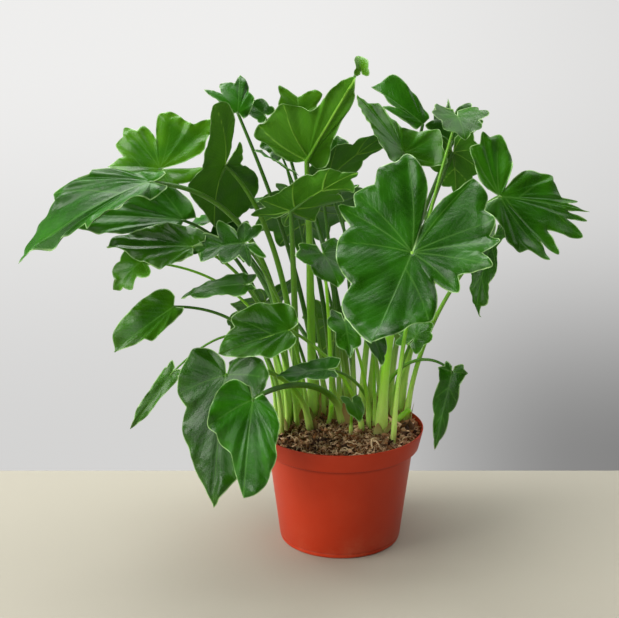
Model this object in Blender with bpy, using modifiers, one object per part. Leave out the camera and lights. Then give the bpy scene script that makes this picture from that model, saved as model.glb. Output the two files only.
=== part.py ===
"""Potted philodendron: a clump of lobed leaves in a round plastic nursery pot.

The pot's underside lies on z = 0 and its axis is the Z axis. Each leaf is one piece, a stalk fused
with its blade, standing in a plain hole in the soil. Leaf sizes are in millimetres and degrees.
"""

import math
from dataclasses import dataclass

import bmesh
import bpy
import numpy as np
from mathutils import Vector

MM = 0.001
DEGREE = math.pi / 180

# Pot: a tapered tub with a wider rim band, turned round Z
POT_HEIGHT = 121.0
RIM_HEIGHT = 20.0
RIM_RADIUS = 85.0
RIM_FOOT_RADIUS = 80.6
SHOULDER_RADIUS = 74.6
BASE_RADIUS = 62.0
POT_WALL = 1.6
POT_FLOOR = 2.0
POT_CORNER = 2.0
EDGE_ROUND = 0.6
HEEL_ROUND = 3.2
POT_STEPS = 40
DRAIN_COUNT = 8
DRAIN_RADIUS = 4.5
DRAIN_RING = 42.0
DRAIN_SIDES = 12

# Soil: fills the pot to just under the lip, with a low dome in the middle
SOIL_EDGE = 115.5
SOIL_DOME = 5.0
SOIL_BUMP = 1.3
SOIL_GAP = 0.55
SOIL_STEPS = 32
SOIL_RINGS = (0.0, 19.0, 37.0, 54.0, 69.0)

# Stalks: straight through the soil, then one bend up to the blade
FOOT_HEIGHT = 119.0
FOOT_DEPTH = 15.0
FOOT_RISE = 9.0
STALK_FLARE = 1.15
STALK_TAPER = 0.6
STALK_BENDS = 5
LEAN_ASIDE, LEAN_UP, LEAN_LATE = 0.12, 0.42, 0.26   # first bend, as shares of the way from foot to heart
NEAR_ASIDE, NEAR_UP, NEAR_LATE = 0.30, 0.22, 0.17   # second bend, as shares of the way back from the heart
NEAR_BOW = 0.9
UNDER_MIDRIB = 0.24   # how far the stalk runs on under the midrib, as a share of the blade's length
HOLE_SIDES = 6
HOLE_GAP = 0.45
HOLE_REACH = 14.0

# Blades
BLADE = 1.0
SMALL_BLADE = 0.8
SMALL_LENGTH = 50.0
PLAIN_WIDTH = 60.0
BENT_WIDTH = 76.0
WELD = 1e-6
SHARP_ANGLE = 50 * DEGREE


@dataclass
class Leaf:
    """One leaf: where it grows, how it is turned, and the shape of its blade."""

    name: str
    foot: tuple      # x, y where the stalk leaves the soil
    heart: tuple     # x, y, z where the stalk meets the blade
    turn: tuple      # compass heading of the tip, its rise above level, roll about the midrib
    length: float    # heart to tip
    width: float
    back: float      # how far the two rear lobes reach behind the heart
    lobes: int = 5   # lobes on each side, the tip counted
    cut: float = 0.2     # depth of the cuts between lobes, as a share of the reach
    seed: int = 1
    droop: float = 20    # bend of the midrib towards the tip
    lift: float = 15     # bend of the rear lobes
    cup: float = 12      # bend across the blade
    wave: float = 0.05   # wave of the margin, as a share of the length
    bow: float = 15      # how far the stalk arches above a straight line
    late: float = 0.0    # 1 where the stalk stands upright before it turns outward
    stalk: float = 2.6   # stalk radius near the soil
    fan: float = 0.0     # 1 where all side veins start at the heart
    left: tuple = None   # left margin where the lobes differ: (angle from the tip, reach), two to a lobe
    right: tuple = None  # right margin in the same way


LEAVES = (
    Leaf("front_big", (41, -17), (62, -110, 331), (-103, -50, 0), 95, 150, 90, seed=1, droop=-10, lift=10,
         cup=10, wave=0.03, bow=25, stalk=4.5,
         left=((-14, 100), (-7, 92), (1, 80), (9, 74), (19, 74), (27, 64), (34, 50), (40, 36), (51, 60),
               (64, 50), (75, 66), (80, 78), (91, 65), (98, 82), (106, 72), (114, 82), (125, 77),
               (134, 88), (147, 91), (151, 72), (158, 48), (163, 22)),
         right=((14, 100), (28, 92), (43, 83), (54, 63), (67, 67), (79, 70), (94, 70), (110, 64),
                (119, 84), (126, 72), (134, 83), (147, 79), (155, 93), (164, 93), (171, 100), (178, 90),
                (183, 78), (187, 63), (189, 41), (192, 18))),
    Leaf("centre_tall", (-29, 25), (-34, 20, 393), (-60, 46, 35), 125, 130, 55, seed=2, droop=5, lift=20,
         cup=10, wave=0.03, bow=0, stalk=4.2,
         left=((0, 134), (3, 114), (6, 100), (8, 74), (12, 54), (24, 34), (60, 22), (120, 15)),
         right=((0, 134), (5, 117), (9, 98), (12, 76), (18, 69), (32, 66), (42, 71), (56, 62), (68, 58),
                (80, 60), (88, 58), (96, 43), (110, 26), (140, 14))),
    Leaf("centre_right", (-45, 16), (-50, -10, 349), (-35, 35, 35), 95, 70, 35, cut=0.24, seed=3, droop=10,
         lift=10, cup=20, bow=10, stalk=3.6),
    Leaf("left_mid", (-43, 32), (-114, -6, 393), (130, -55, 0), 58, 92, 66, seed=4, droop=30, lift=20,
         cup=10, bow=5, late=0.5, stalk=3.4,
         left=((0, 70), (13, 54), (36, 46), (54, 43), (72, 37), (84, 25), (112, 34), (140, 48),
               (156, 78), (166, 74), (174, 54), (177, 34), (180, 18)),
         right=((0, 70), (17, 73), (30, 73), (44, 76), (54, 66), (63, 61), (74, 34), (86, 20), (128, 20),
                (162, 28), (172, 15))),
    Leaf("left_upper", (-53, 46), (-180, 20, 384), (182, 5, 50), 56, 110, 45, seed=5, droop=10, lift=10,
         cup=10, wave=0.06, bow=10, late=0.7,
         left=((-2, 53), (10, 42), (26, 40), (38, 26), (61, 25), (92, 20), (121, 28), (142, 26),
               (165, 36), (182, 44), (190, 24)),
         right=((2, 53), (18, 40), (30, 54), (40, 52), (48, 59), (57, 48), (66, 51), (78, 34), (84, 60),
                (96, 63), (112, 58), (120, 58), (131, 75), (144, 55), (154, 46), (162, 22))),
    Leaf("left_far", (-54, 12), (-181, -54, 386), (190, -9, 30), 146, 52, 25, seed=6, droop=44, lift=30,
         cup=20, wave=0.04, bow=0, late=1, stalk=3.4,
         left=((11, 148), (13, 132), (15, 116), (17, 101), (19, 92), (26, 75), (38, 80), (49, 70), (54, 46),
               (62, 32), (76, 20), (110, 18), (155, 14)),
         right=((-11, 148), (-2, 136), (7, 122), (13, 97), (18, 101), (22, 85), (26, 76), (29, 62), (33, 61),
                (38, 47), (48, 32), (70, 16), (119, 16), (170, 16))),
    Leaf("left_under", (-62, 33), (-154, -20, 341), (181, 2, 45), 126, 40, 18, seed=7, droop=10, lift=10,
         cup=10, wave=0.03, bow=5, late=0.6, stalk=2.4,
         left=((-4, 128), (3, 111), (8, 87), (12, 74), (15, 62), (20, 49), (26, 37), (36, 25), (70, 14)),
         right=((4, 128), (8, 108), (13, 89), (17, 63), (27, 62), (36, 44), (52, 48), (67, 39), (88, 29),
                (125, 16), (155, 12))),
    Leaf("left_lower", (-57, 4), (-142, -62, 325), (176, 0, 45), 86, 42, 20, seed=8, droop=10, lift=10,
         cup=10, bow=5, late=0.6, stalk=2.2,
         left=((-1, 85), (4, 68), (12, 58), (23, 47), (33, 39), (46, 29), (58, 16), (95, 10)),
         right=((1, 85), (8, 79), (14, 69), (20, 56), (30, 45), (42, 33), (66, 26), (92, 20), (118, 19),
                (150, 12))),
    Leaf("left_curl", (-54, -10), (-192, -60, 310), (200, -35, 30), 38, 42, 14, lobes=4, cut=0.34, seed=49,
         droop=30, lift=10, cup=30, wave=0.1, bow=0, late=0.9, stalk=1.8),
    Leaf("left_hang", (-60, -20), (-160, -80, 271), (205, -28, 50), 70, 42, 10, seed=10, droop=20, lift=10,
         cup=10, wave=0.04, bow=0, late=0.9, stalk=2.1,
         left=((0, 72), (4, 62), (10, 51), (16, 42), (24, 40), (33, 28), (45, 17), (85, 10), (140, 9)),
         right=((0, 72), (12, 64), (20, 55), (31, 41), (45, 33), (61, 26), (98, 20), (130, 10))),
    Leaf("left_flat", (-44, -1), (-93, -70, 290), (183, -2, 20), 64, 34, 12, lobes=4, cut=0.16, seed=11,
         droop=15, lift=10, cup=10, bow=10, stalk=2.0),
    Leaf("mid_spiky", (-33, 7), (-94, -60, 328), (185, -5, 40), 52, 56, 20, cut=0.44, seed=12, droop=10,
         lift=10, cup=10, wave=0.08, bow=20, stalk=2.0),
    Leaf("lower_mid", (22, -14), (-50, -90, 251), (195, -12, 45), 74, 56, 14, seed=13, droop=20, lift=20,
         cup=20, bow=10, stalk=2.2,
         left=((-2, 72), (6, 60), (13, 48), (23, 39), (37, 34), (55, 25), (77, 19), (105, 11)),
         right=((2, 72), (10, 66), (16, 62), (23, 53), (31, 57), (45, 47), (60, 40), (72, 31), (97, 27),
                (119, 22), (140, 14), (165, 10))),
    Leaf("hang_left", (-31, -11), (-112, -84, 204), (-108, -66, -5), 130, 78, 24, seed=14, droop=10,
         lift=10, cup=15, wave=0.04, bow=30, stalk=2.8,
         left=((0, 128), (4, 117), (10, 103), (20, 86), (31, 68), (49, 56), (70, 48), (90, 52),
               (113, 42), (133, 30), (155, 18), (168, 12)),
         right=((0, 128), (4, 113), (12, 99), (20, 82), (35, 67), (46, 50), (62, 51), (81, 47),
                (104, 43), (121, 42), (134, 34), (154, 20), (170, 12))),
    Leaf("hang_front", (3, 8), (-84, -140, 199), (-102, -62, 5), 98, 66, 14, seed=15, droop=20, lift=10,
         cup=15, wave=0.04, bow=25, stalk=3.6,
         left=((-1, 92), (7, 87), (14, 79), (20, 68), (28, 58), (35, 47), (50, 37), (64, 27), (90, 14),
               (130, 10)),
         right=((1, 92), (5, 79), (9, 70), (18, 53), (30, 51), (42, 46), (53, 48), (67, 43), (82, 37),
                (102, 33), (132, 26), (150, 16), (165, 12))),
    Leaf("left_tiny", (-66, -2), (-169, -30, 187), (200, -50, 60), 70, 20, 10, lobes=4, cut=0.15, seed=16,
         droop=10, lift=10, cup=10, wave=0.04, bow=70, late=0.9, stalk=1.6),
    Leaf("small_right", (-9, 17), (-19, -60, 318), (-60, -30, 0), 40, 60, 18, lobes=4, seed=17, droop=20,
         lift=10, cup=10, wave=0.06, bow=20, stalk=2.0),
    Leaf("small_mid", (29, -6), (1, -100, 263), (-80, -30, 0), 40, 34, 15, lobes=4, seed=18, droop=30,
         lift=10, cup=20, wave=0.08, bow=10, stalk=1.8),
    Leaf("centre_dark", (33, 13), (-15, -88, 211), (178, -5, 30), 50, 30, 12, lobes=4, cut=0.15, seed=19,
         droop=10, lift=10, cup=10, bow=10, stalk=1.8),
    Leaf("soil_tiny", (10, -24), (11, -44, 162), (-60, -40, 0), 22, 24, 8, lobes=3, cut=0.15, seed=20,
         droop=20, lift=10, cup=10, bow=0, stalk=1.4),
    Leaf("right_low", (54, 14), (72, -20, 221), (40, 45, 0), 30, 46, 16, lobes=4, cut=0.26, seed=21,
         droop=20, lift=10, cup=10, bow=10, stalk=2.2),
    Leaf("right_hang", (40, 26), (111, -20, 185), (-140, -74, 40), 84, 28, 11, cut=0.24, seed=22, droop=10,
         lift=10, cup=10, bow=40, stalk=2.0),
    Leaf("right_mid", (62, 28), (147, -60, 373), (-8, -16, -52), 92, 120, 60, seed=23, droop=15, lift=15,
         cup=10, wave=0.03, bow=40, stalk=3.6,
         left=((12, 90), (15, 67), (18, 78), (21, 61), (26, 60), (36, 55), (41, 57), (50, 47), (62, 40),
               (69, 26), (74, 11), (80, 20), (86, 37), (96, 49), (106, 63), (115, 60), (121, 66),
               (127, 55), (136, 56), (146, 37), (165, 14)),
         right=((-12, 90), (-9, 68), (-6, 89), (-2, 68), (6, 88), (18, 55), (30, 78), (34, 58), (38, 77),
                (50, 60), (55, 58), (61, 53), (66, 46), (72, 33), (86, 23), (108, 24), (135, 16))),
    Leaf("right_fold", (22, 28), (61, 10, 402), (140, 50, 20), 74, 84, 40, seed=24, droop=10, lift=20,
         cup=50, bow=10, stalk=3.0,
         left=((6, 76), (22, 55), (32, 40), (66, 33), (93, 26), (112, 24), (135, 12)),
         right=((-6, 76), (-2, 62), (8, 62), (12, 40), (17, 36), (26, 26), (62, 28), (78, 36), (88, 43),
                (114, 40), (138, 45), (150, 28), (170, 12))),
    Leaf("top_leaf", (31, 43), (82, 46, 424), (170, 35, 50), 62, 46, 15, seed=25, droop=20, lift=10, cup=15,
         wave=0.03, bow=10,
         left=((-6, 67), (-4, 51), (0, 42), (2, 33), (8, 45), (18, 28), (34, 14), (75, 8)),
         right=((6, 67), (16, 62), (27, 61), (33, 52), (38, 38), (45, 30), (58, 18), (98, 10))),
    Leaf("top_curl", (-30, 66), (19, 46, 478), (100, 60, 0), 20, 18, 8, lobes=3, cut=0.15, seed=26, droop=30,
         lift=10, cup=60, wave=0.08, bow=-130, late=2.4, stalk=2.0),
    Leaf("right_spiky", (42, 57), (113, 54, 406), (85, 55, 0), 42, 52, 12, seed=27, droop=10, lift=10,
         cup=10, wave=0.06, bow=10, stalk=2.8,
         left=((7, 50), (16, 30), (24, 45), (40, 31), (58, 33), (72, 19), (105, 11)),
         right=((-7, 50), (-2, 26), (20, 49), (34, 22), (54, 37), (74, 19), (95, 12), (135, 10))),
    Leaf("right_behind", (52, 42), (111, 30, 399), (70, -60, 0), 50, 56, 26, cut=0.22, seed=28, droop=20,
         lift=10, cup=10, bow=20, stalk=2.8),
    Leaf("right_lower", (68, 12), (149, -10, 323), (215, -66, 0), 84, 48, 20, cut=0.22, seed=29, droop=20,
         lift=10, cup=10, bow=20, stalk=2.4),
    Leaf("top_left", (-22, 45), (-104, 60, 434), (100, 60, 0), 40, 46, 15, seed=30, droop=20, lift=10,
         cup=10, wave=0.08, bow=10,
         left=((-8, 47), (0, 34), (20, 39), (34, 26), (50, 41), (58, 24), (70, 16), (105, 9)),
         right=((8, 47), (18, 38), (24, 34), (32, 25), (51, 23), (72, 16), (102, 11), (146, 9))),
    Leaf("back_top", (-6, 56), (-56, 90, 399), (110, 40, 0), 50, 56, 24, cut=0.24, seed=31, droop=30,
         lift=10, cup=10, wave=0.06, bow=10),
    Leaf("inner_right", (0, 36), (-20, 50, 364), (8, 40, 58), 88, 50, 14, cut=0.18, seed=34, droop=10,
         lift=10, cup=10, wave=0.04, bow=10, stalk=2.4),
    Leaf("behind_tall", (44, 48), (-43, 90, 427), (95, 62, 0), 30, 62, 10, seed=51, droop=10, lift=10,
         cup=10, wave=0.04, bow=10, stalk=2.0,
         left=((0, 20), (14, 26), (30, 38), (42, 27), (60, 24), (84, 18), (120, 10)),
         right=((0, 20), (16, 24), (34, 33), (48, 34), (62, 22), (84, 18), (120, 10))),
    Leaf("dark_behind", (-16, 32), (-54, 44, 380), (184, 35, -10), 38, 40, 14, lobes=4, cut=0.2, seed=52,
         droop=10, lift=10, cup=10, bow=10, stalk=1.8),
    Leaf("jag_right", (16, 40), (-5, 70, 386), (80, 60, 0), 26, 34, 10, lobes=4, cut=0.3, seed=53, droop=10,
         lift=10, cup=10, bow=10, stalk=1.8),
    Leaf("edge_left", (8, 48), (-78, 70, 431), (150, 30, 50), 26, 26, 8, lobes=3, seed=54, droop=20,
         lift=10, cup=30, bow=10, stalk=1.6),
    Leaf("left_dark", (-28, 56), (-105, 54, 303), (185, -8, 50), 50, 56, 14, cut=0.36, seed=55, droop=10,
         lift=10, cup=10, bow=10, stalk=1.8),
    Leaf("right_cap", (52, -40), (111, 0, 440), (-80, -20, 0), 36, 56, 16, lobes=4, cut=0.2, seed=57,
         droop=20, lift=10, cup=20, bow=10, stalk=2.0),
    Leaf("low_right", (35, -2), (29, -60, 236), (-60, -40, 0), 32, 26, 10, lobes=3, seed=35, droop=20,
         lift=10, cup=10, wave=0.08, bow=10, stalk=1.6),
    Leaf("back_left", (-39, 58), (-133, 102, 316), (165, -20, 0), 100, 116, 50, lobes=6, cut=0.26, seed=41,
         droop=30, cup=10, bow=25, stalk=3.4, fan=0.3),
    Leaf("back_mid", (9, 60), (-31, 150, 319), (97, -25, 0), 116, 130, 60, lobes=6, cut=0.26, seed=42,
         droop=30, cup=10, bow=25, stalk=3.8, fan=0.3),
    Leaf("back_right", (33, 64), (88, 116, 315), (33, -20, 0), 105, 120, 55, lobes=6, cut=0.26, seed=43,
         droop=30, cup=10, bow=25, stalk=3.4, fan=0.3),
    Leaf("back_low_left", (-14, 68), (-80, 120, 220), (125, -40, 0), 85, 80, 35, cut=0.22, seed=44,
         droop=25, cup=10, bow=30, stalk=2.6),
    Leaf("back_low_right", (52, 54), (61, 110, 223), (60, -45, 0), 80, 74, 30, cut=0.22, seed=45, droop=25,
         cup=10, bow=30, stalk=2.4),
    Leaf("back_low_mid", (16, 70), (-3, 150, 189), (95, -50, 0), 80, 70, 30, seed=46, droop=25, cup=10,
         bow=40, stalk=2.4),
)

# Cut stalk ends: name, foot, top, radius at the foot
STUBS = (
    ("stub_front", (51, 3), (71, 0, 138), 3.6),
    ("stub_right", (70, 21), (74, 20, 152), 2.2),
    ("stub_back", (62, 38), (70, 42, 152), 2.0),
    ("stub_left", (-12, 8), (-9, 6, 141), 2.2),
)

# The plain outline of a lobed blade: shares of half the width, of the length and of the rear reach
OUTLINE_AT = (0, 0.18, 0.36, 0.54, 0.72, 0.88, 1.0)
OUTLINE_ACROSS = (0, 0.40, 0.76, 0.98, 1.0, 0.66, 0.10)
OUTLINE_ALONG = (1.0, 0.84, 0.56, 0.20, -0.30, -0.98, -0.72)
ROOT_AT = (0, 0.18, 0.36, 0.54, 0.72, 1.0)
ROOT_ALONG = (0.80, 0.56, 0.30, 0.10, 0, 0)
LAST_LOBE = 0.44
LOBE_JITTER = 0.14
CUT_SHAPE = 1.6


def smooth(at, knots, values):
    """Cubic curve through the knots, with each slope taken from its two neighbours."""
    knots, values = np.asarray(knots, float), np.asarray(values, float)
    slope = np.gradient(values, knots)
    i = np.clip(np.searchsorted(knots, at, side="right") - 1, 0, len(knots) - 2)
    step = knots[i + 1] - knots[i]
    s = (at - knots[i]) / step
    start = (2 * s**3 - 3 * s**2 + 1) * values[i] + (s**3 - 2 * s**2 + s) * step * slope[i]
    end = (3 * s**2 - 2 * s**3) * values[i + 1] + (s**3 - s**2) * step * slope[i + 1]
    return start + end


def side_veins(leaf):
    """Lobe count along the margin at each side vein, left side negative, tip zero."""
    if leaf.left:
        left, right = (np.arange(len(edge)) / 2 for edge in (leaf.left, leaf.right))
    else:
        parts = (0, 0.5) if leaf.width < PLAIN_WIDTH else (0.2, 0.5, 0.8)
        inner = [i + part for i in range(leaf.lobes) for part in parts if i + part > 0]
        last = leaf.lobes - 1 + LAST_LOBE
        left = right = np.array([0.0] + [c for c in inner if c < last - 0.12] + [last])
    return np.concatenate([-left[::-1], right[1:]])


def vein_root(leaf, v):
    """Where on the midrib a side vein starts, v from the tip to the rear lobe; the rear ones at the heart."""
    if leaf.left:
        return np.zeros_like(v)
    return np.maximum(smooth(v, ROOT_AT, ROOT_ALONG), 0) * leaf.length * (1 - leaf.fan)


def margin(leaf, c):
    """Where each side vein ends on the flat blade, and how far round the margin that is."""
    count = np.abs(c)
    side = (c >= 0).astype(int)
    if leaf.left:
        across, along, v = np.zeros_like(c), np.zeros_like(c), np.zeros_like(c)
        for edge, sign, here in ((leaf.left, -1, c < 0), (leaf.right, 1, c >= 0)):
            knots = np.array(edge, float)
            at = np.minimum(count[here] * 2, len(knots) - 1)
            angle = smooth(at, np.arange(len(knots)), knots[:, 0]) * DEGREE
            reach = smooth(at, np.arange(len(knots)), knots[:, 1])
            across[here] = sign * reach * np.sin(angle)
            along[here] = reach * np.cos(angle)
            v[here] = at / (len(knots) - 1)
        return across, along, v
    rng = np.random.default_rng(leaf.seed)
    reach = 1 + LOBE_JITTER * (rng.random((2, leaf.lobes + 2)) * 2 - 1)
    reach[:, 0] = 1
    cut = leaf.cut * (1 + 0.5 * (rng.random((2, leaf.lobes + 2)) * 2 - 1))
    v = count / (leaf.lobes - 1 + LAST_LOBE)
    across = smooth(v, OUTLINE_AT, OUTLINE_ACROSS) * leaf.width / 2 * np.sign(c)
    along = smooth(v, OUTLINE_AT, OUTLINE_ALONG)
    along = np.where(along > 0, along * leaf.length, along * leaf.back)
    nearest = np.round(count).astype(int)
    below = np.floor(count).astype(int)
    off = np.minimum(2 * np.abs(count - nearest), 1)
    between = (reach[side, below] + reach[side, below + 1]) / 2
    size = reach[side, nearest] * (1 - off) + between * off
    size *= 1 - cut[side, below] * off**CUT_SHAPE
    root = vein_root(leaf, v)
    return size * across, root + size * (along - root), v


def axes(leaf):
    """Columns: across the blade to its right, along the midrib to the tip, and out of the upper face."""
    heading, rise, roll = (angle * DEGREE for angle in leaf.turn)
    tip = np.array([math.cos(heading) * math.cos(rise), math.sin(heading) * math.cos(rise), math.sin(rise)])
    up = np.array([-math.cos(heading) * math.sin(rise), -math.sin(heading) * math.sin(rise), math.cos(rise)])
    right = np.cross(tip, up)
    turned = right * math.cos(roll) + up * math.sin(roll)
    face = up * math.cos(roll) - right * math.sin(roll)
    return np.stack([turned, tip, face], 1)


def blade_points(leaf, c, t):
    """Grid of points on the blade's middle surface: one row a side vein, t from the midrib to the margin.

    The flat point is waved by the lobes, bent across about the midrib, then bent along the midrib.
    """
    rng = np.random.default_rng(leaf.seed + 100)
    tilt = rng.random((2, 12)) * 2 - 1
    side = (c >= 0).astype(int)
    count = np.abs(c)
    below = np.floor(count).astype(int)
    across, along, v = margin(leaf, c)
    root = vein_root(leaf, v)
    out = np.meshgrid(t, c)[0]
    x = out * across[:, None]
    y = root[:, None] + out * (along - root)[:, None]
    part = count - below
    lean = tilt[side, below] * (1 - part) + tilt[side, below + 1] * part
    wave = leaf.wave * leaf.length
    z = -0.5 * wave * out**2.2 * np.cos(2 * np.pi * count)[:, None] + 0.6 * wave * out**2 * lean[:, None]
    bend = leaf.cup * DEGREE / (leaf.width / 2)
    angle = bend * np.abs(x)
    x, z = (
        np.sign(x) * (np.sin(angle) / bend - z * np.sin(angle)),
        (1 - np.cos(angle)) / bend + z * np.cos(angle),
    )
    curl = np.where(y > 0, leaf.droop * DEGREE / leaf.length, -leaf.lift * DEGREE / leaf.back)
    angle = curl * y
    y, z = np.sin(angle) / curl + z * np.sin(angle), -(1 - np.cos(angle)) / curl + z * np.cos(angle)
    return np.array(leaf.heart) + np.stack([x, y, z], -1) @ axes(leaf).T


def stalk_start(leaf):
    """Foot of a stalk at the soil, the point that it leans to, and its unit direction there."""
    foot = np.array([*leaf.foot, FOOT_HEIGHT])
    span = np.array(leaf.heart) - foot
    aside, rise = LEAN_ASIDE * (1 - leaf.late), LEAN_UP + LEAN_LATE * leaf.late
    lean = foot + np.array([aside * span[0], aside * span[1], rise * span[2] + leaf.bow])
    way = lean - foot
    return foot, lean, way / np.linalg.norm(way)


def stalk_path(leaf):
    """Centre line and radii of a stalk: straight in the soil, one arch, then under the midrib."""
    foot, lean, way = stalk_start(leaf)
    turn = axes(leaf)
    heart = np.array(leaf.heart)
    span = heart - foot
    thin = leaf.stalk * STALK_TAPER
    aside, rise = NEAR_ASIDE * (1 + leaf.late), NEAR_UP - NEAR_LATE * leaf.late
    near = heart - np.array([aside * span[0], aside * span[1], rise * span[2] - NEAR_BOW * leaf.bow])
    start, end = foot + way * FOOT_RISE, heart - turn[:, 2] * thin * 0.35
    t = np.linspace(0, 1, STALK_BENDS + 1)[:, None]
    arch = (1 - t)**3 * start + 3 * (1 - t)**2 * t * lean + 3 * (1 - t) * t**2 * near + t**3 * end
    curl = leaf.droop * DEGREE / leaf.length
    y = UNDER_MIDRIB * leaf.length
    under = np.array([0, math.sin(curl * y) / curl, -(1 - math.cos(curl * y)) / curl - 0.2 * thin])
    points = np.vstack([foot - way * FOOT_DEPTH, arch, heart + turn @ under])
    wide = leaf.stalk * STALK_FLARE
    radii = np.concatenate([[wide], np.linspace(wide, thin, STALK_BENDS + 1), [thin * 0.5]])
    return points, radii


def paint(obj, colour, roughness):
    """Give an object its own plain material."""
    material = bpy.data.materials.new(obj.name)
    material.use_nodes = True
    shader = material.node_tree.nodes["Principled BSDF"]
    shader.inputs["Base Color"].default_value = (*colour, 1)
    shader.inputs["Roughness"].default_value = roughness
    shader.inputs["Metallic"].default_value = 0
    obj.data.materials.clear()
    obj.data.materials.append(material)


def add_object(name, mesh, home):
    """Link a mesh into a collection as an object."""
    obj = bpy.data.objects.new(name, mesh)
    home.objects.link(obj)
    return obj


def evaluated_mesh(obj):
    """Mesh of an object with its modifiers or bevel applied, caps welded."""
    graph = bpy.context.evaluated_depsgraph_get()
    mesh = bpy.data.meshes.new_from_object(obj.evaluated_get(graph))
    bm = bmesh.new()
    bm.from_mesh(mesh)
    bmesh.ops.remove_doubles(bm, verts=bm.verts, dist=WELD)
    bm.to_mesh(mesh)
    bm.free()
    return mesh


def apply_modifiers(obj):
    """Replace an object's mesh by its evaluated one."""
    mesh = evaluated_mesh(obj)
    obj.modifiers.clear()
    obj.data = mesh


def tube(name, points, radii, sides, home):
    """Closed round tube along a chain of points, in millimetres."""
    curve = bpy.data.curves.new(name, "CURVE")
    curve.dimensions = "3D"
    curve.bevel_depth = MM
    curve.bevel_resolution = sides // 2 - 2
    curve.use_fill_caps = True
    spline = curve.splines.new("POLY")
    spline.points.add(len(points) - 1)
    for point, place, radius in zip(spline.points, points, radii):
        point.co = (*(place * MM), 1)
        point.radius = radius
    guide = add_object(name + "_line", curve, home)
    mesh = evaluated_mesh(guide)
    obj = add_object(name, mesh, home)
    obj.matrix_world = guide.matrix_world
    bpy.data.objects.remove(guide)
    return obj


def blade(leaf, home):
    """Lobed blade: a grid laid on the leaf's surface, welded at the heart, with a thickness."""
    c = side_veins(leaf)
    t = np.array([0, 1.0]) if leaf.width < BENT_WIDTH else np.array([0, 0.55, 1.0])
    places = blade_points(leaf, c, t)
    bm = bmesh.new()
    grid = bmesh.ops.create_grid(bm, x_segments=len(t) - 1, y_segments=len(c) - 1, size=1)["verts"]
    for vert, place in zip(grid, places.reshape(-1, 3)):
        vert.co = Vector(place * MM)
    bmesh.ops.remove_doubles(bm, verts=bm.verts, dist=WELD)
    bmesh.ops.triangulate(bm, faces=bm.faces)
    mesh = bpy.data.meshes.new(leaf.name)
    bm.to_mesh(mesh)
    bm.free()
    obj = add_object("blade", mesh, home)
    solidify = obj.modifiers.new("thickness", "SOLIDIFY")
    solidify.thickness = (SMALL_BLADE if leaf.length < SMALL_LENGTH else BLADE) * MM
    solidify.offset = 0
    apply_modifiers(obj)
    return obj


def make_leaf(leaf, plant, helpers):
    """Stalk and blade joined into one solid by a Boolean union."""
    points, radii = stalk_path(leaf)
    sides = 6 if leaf.stalk > 2.4 else 4
    obj = tube("leaf_" + leaf.name, points, radii, sides, plant)
    flat = blade(leaf, helpers)
    join = obj.modifiers.new("join", "BOOLEAN")
    join.operation = "UNION"
    join.solver = "MANIFOLD"
    join.operand_type = "COLLECTION"
    join.collection = helpers
    apply_modifiers(obj)
    bpy.data.objects.remove(flat)
    paint(obj, (0.035, 0.16, 0.03), 0.35)
    return obj


def turned(name, profile, steps, home):
    """Round solid: a profile from the axis out and back to the axis, swept round Z."""
    mesh = bpy.data.meshes.new(name)
    steps_out = [(i, i + 1) for i in range(len(profile) - 1)]
    mesh.from_pydata([(r * MM, 0, z * MM) for r, z in profile], steps_out, [])
    obj = add_object(name, mesh, home)
    screw = obj.modifiers.new("turn", "SCREW")
    screw.steps = screw.render_steps = steps
    screw.use_merge_vertices = True
    screw.merge_threshold = 0.00001
    apply_modifiers(obj)
    return obj


def drill(obj, holes, cutters):
    """Cut round holes, each given by its two ends, radius and sides, all at once."""
    for start, end, radius, sides in holes:
        line = Vector(end * MM) - Vector(start * MM)
        bm = bmesh.new()
        bmesh.ops.create_cone(bm, cap_ends=True, segments=sides, radius1=radius * MM, radius2=radius * MM,
                              depth=line.length)
        mesh = bpy.data.meshes.new("hole")
        bm.to_mesh(mesh)
        bm.free()
        cutter = add_object("hole", mesh, cutters)
        cutter.location = Vector((start + end) / 2 * MM)
        cutter.rotation_euler = line.to_track_quat("Z", "Y").to_euler()
        cutter.hide_render = True
        cutter.display_type = "WIRE"
    cut = obj.modifiers.new("holes", "BOOLEAN")
    cut.operation = "DIFFERENCE"
    cut.operand_type = "COLLECTION"
    cut.collection = cutters
    bpy.context.view_layer.update()
    apply_modifiers(obj)
    for cutter in list(cutters.objects):
        bpy.data.objects.remove(cutter)


def tub_radius(z):
    """Outer radius of the pot's tapered body at a height."""
    return BASE_RADIUS + (SHOULDER_RADIUS - BASE_RADIUS) * z / (POT_HEIGHT - RIM_HEIGHT)


def rim_radius(z):
    """Outer radius of the pot's rim band at a height."""
    return RIM_RADIUS + (RIM_RADIUS - RIM_FOOT_RADIUS) * (z - POT_HEIGHT) / RIM_HEIGHT


def inside(wall, floor):
    """Profile of the pot's inner face set in by a wall, from the floor's centre up to the rim band."""
    step = POT_HEIGHT - RIM_HEIGHT
    return [
        (0, floor), (tub_radius(0) - wall - POT_CORNER, floor),
        (tub_radius(floor) - wall, floor + POT_CORNER), (tub_radius(step) - wall, step + wall),
        (rim_radius(step) - wall - EDGE_ROUND, step + wall),
        (rim_radius(step) - wall, step + wall + EDGE_ROUND),
    ]


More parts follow.
